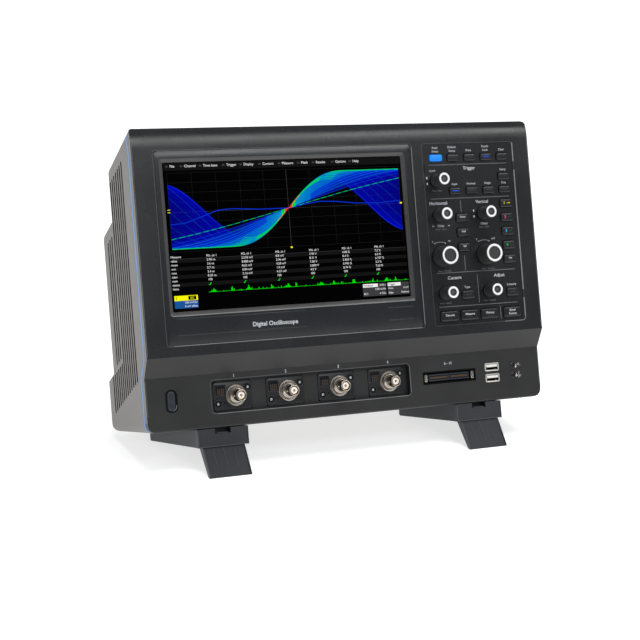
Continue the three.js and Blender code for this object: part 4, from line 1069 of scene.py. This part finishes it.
connectors = Drawing()
connectors.block((66, 26, 7), (178, 27.6, 42), "solder_mask")
USB_X = 140.2
for z in (30.8, 20.8):
    shell = LOWER_FACE_Y - 0.6
    connectors.slab(
        USB_X, z, 14.6, 7.6, 1.4,
        [(0, LOWER_FACE_Y + 0.6), (0, shell + 0.25), (0.25, shell), (1.0, shell), (1.2, shell + 0.3)],
        "usb_shell", closed=OPEN,
    )
    # The inside of each USB port is painted shade.
    connectors.slab(USB_X, z, 12.2, 5.2, 0.5, [(0, shell + 0.3), (0, shell + 8)], "well", closed=(False, True))
    tongue = [(0, shell + 7.9), (0, shell + 0.6), (0.2, shell + 0.4)]
    connectors.slab(USB_X, z + 1.1, 11.4, 2.4, 0.2, tongue, "dielectric")
    for k in range(4):
        cx = USB_X - 3.6 + 2.4 * k
        connectors.block((cx - 0.5, shell + 0.8, z - 0.5), (cx + 0.5, shell + 7, z - 0.14), "gold", 0.05)
    for cx in (USB_X - 3.4, USB_X + 3.4):
        connectors.block((cx - 0.9, shell + 0.9, z - 2.5), (cx + 0.9, shell + 5, z - 2.0), "nickel", 0.08)
TERMINAL_X = 162.9
for z in (30.3, 22.0):
    front = LOWER_FACE_Y - 5
    angles = [math.pi * k / 12 for k in range(13)]
    bow = [(TERMINAL_X, 26.2, z - 1.7)]
    bow += [(TERMINAL_X, front + 2.4 - 1.7 * math.sin(a), z - 1.7 * math.cos(a)) for a in angles]
    bow += [(TERMINAL_X, 26.2, z + 1.7)]
    connectors.wire(bow, 0.8, "nickel", sides=14)
    collar = [(3.1, LOWER_FACE_Y + 0.9), (3.1, LOWER_FACE_Y + 0.2), (2.8, LOWER_FACE_Y)]
    connectors.turned(TERMINAL_X, z, collar, "module", sides=28)
PORT_X, PORT_Z = 96.2, 25.5
port_face = LOWER_FACE_Y + 1.2
# The logic port's recess is painted shade, near black.
connectors.slab(
    PORT_X, PORT_Z, 53, 10.4, 0.8,
    [
        (0, 26.2), (0, port_face - 0.5), (0.15, port_face - 0.6), (0.5, port_face - 0.6),
        (0.6, port_face + 3), (0.6, port_face + 6),
    ],
    "well",
)
for side in (-1, 1):
    sx = PORT_X + side * 23.6
    for half_x, front, back, half_z, look, ease in (
        (1.5, port_face - 0.9, port_face + 6, 3.4, "nickel", 0.35),
        (0.6, port_face - 1.1, port_face - 0.8, 1.3, "screw", 0.1),
    ):
        low, high = (sx - half_x, front, PORT_Z - half_z), (sx + half_x, back, PORT_Z + half_z)
        connectors.block(low, high, look, ease)
    tx = PORT_X + side * 10.3
    frame_edge = [(0, port_face + 6), (0, port_face + 0.3), (0.25, port_face)]
    connectors.slab(tx, PORT_Z, 20.4, 6.4, 0.5, frame_edge, "port_frame")
    # Its inner recess is painted shade too.
    connectors.slab(tx, PORT_Z, 18.6, 3.8, 0.4, [(0, port_face + 0.03), (0.02, port_face - 0.02)], "well")
    connectors.slab(tx, PORT_Z, 17.4, 2.0, 0.3, [(0, port_face), (0.05, port_face - 0.05)], "brass_slot")
    for k in range(16):
        cx = tx - 8.2 + 16.4 * k / 15
        low, high = (cx - 0.3, port_face - 0.15, PORT_Z - 0.6), (cx + 0.3, port_face, PORT_Z + 0.6)
        connectors.block(low, high, "contact", 0.04)
connectors.made(
    "front_connectors_finished", "case", "connector_nickel", ["front_connector_board"], smooth=45
)

# ---- inside and back ----

dressed("main_board", "solder_mask")
dressed("power_supply", "steel", width=0.4)
dressed("fan_frame", "fan_plastic", width=0.4)
dressed("fan_rotor", "fan_plastic", width=0.4)
refined("rear_panel", "steel", width=0.2)

# ---- feet ----

for side in ("left", "right"):
    refined(f"{side}_foot_base", "foot", width=0.5)
    refined(f"{side}_foot_flap", "foot", width=0.35)
    x = case_centre(f"{side}_foot_base").x
    # Painted highlights: the flap's ribs and its left-hand edge are drawn lighter, as lit from the left; the
    # right-hand edge keeps the foot's colour.
    ribs = Drawing()
    root, tip = Vector((x, 12.6, -17.0)), Vector((x, -0.2, -41.2))
    for across in (-9.5, 0, 9.5):
        out = Vector((across - 0.7, 0, 0))
        ribs.wire([root + out, root.lerp(tip, 0.68) + out], 0.28, "foot_edge", sides=8)
    for across, look in ((-18.6, "foot_edge"), (18.6, "foot")):
        out = Vector((across, 0, 0))
        ribs.wire([root + out, root.lerp(tip, 0.97) + out], 0.55, look, sides=10)
    ribs.made(f"{side}_flap_ribs", f"{side}_foot_flap", "foot_plastic")
    # Painted highlights on the plate: its left-hand and lower edges and a bar are drawn lighter; the right-hand
    # edge keeps the foot's colour.
    plate = Drawing()
    for across, look in ((-22.4, "foot_edge"), (22.4, "foot")):
        plate.wire([(x + across, 11.95, -1.2), (x + across, 11.95, -15.4)], 0.42, look, sides=10)
    plate.wire([(x - 22.4, 11.95, -15.5), (x + 22.4, 11.95, -15.5)], 0.35, "foot_edge", sides=10)
    plate.block((x - 5.4, 13.0, -4.9), (x + 5.4, 19.0, -4.1), "foot_edge", 0.1)
    plate.made(f"{side}_foot_plate_rim", f"{side}_foot_base", "foot_plastic")

# ---- floor and light ----

floor_mesh = bpy.data.meshes.new("floor")
floor_mesh.from_pydata([(-30, -30, 0), (30, -30, 0), (30, 30, 0), (-30, 30, 0)], [], [(0, 1, 2, 3)])
finish("floor", grey(0.5), 0.9, grain=2, relief=0.02, mottle=0.01, edge_highlight=0.0, shine=0.0)
floor_shader = FINISHES["floor"].node_tree.nodes["Principled BSDF"]
floor_shader.inputs["Emission Color"].default_value = (1, 1, 1, 1)
floor_shader.inputs["Emission Strength"].default_value = 0.68
floor_mesh.materials.append(FINISHES["floor"])
floor = bpy.data.objects.new("floor", floor_mesh)
bpy.context.scene.collection.objects.link(floor)


def light(name, kind, strength, rotation=(0, 0, 0), place=(0, 0, 0), **settings):
    lamp = bpy.data.lights.new(name, kind)
    lamp.energy = strength
    for setting, value in settings.items():
        setattr(lamp, setting, value)
    lit = bpy.data.objects.new(name, lamp)
    lit.location = place
    lit.rotation_euler = [math.radians(angle) for angle in rotation]
    bpy.context.scene.collection.objects.link(lit)
    return lit


overhead = light("overhead", "SUN", 3.2, rotation=(0, 10, 0), angle=math.radians(44))
overhead.visible_glossy = False
left_box = light(
    "left_box", "AREA", 8.5, (0, -80, -10), (-1.6, 0.1, 0.5), shape="RECTANGLE", size=1.4, size_y=0.9
)
left_box.visible_glossy = False
strip_way = Vector((0.36, -0.67, 0.65)).normalized()
strip = light("front_strip", "AREA", 24, place=strip_way * 3, shape="RECTANGLE", size=2.6, size_y=0.5)
strip.rotation_euler = strip_way.to_track_quat("Z", "Y").to_euler()

world = bpy.data.worlds.new("studio")
world.use_nodes = True
world.node_tree.nodes["Background"].inputs["Color"].default_value = (0.92, 0.95, 1.0, 1)
world.node_tree.nodes["Background"].inputs["Strength"].default_value = 0.22
bpy.context.scene.world = world
bpy.context.scene.view_settings.view_transform = "Standard"
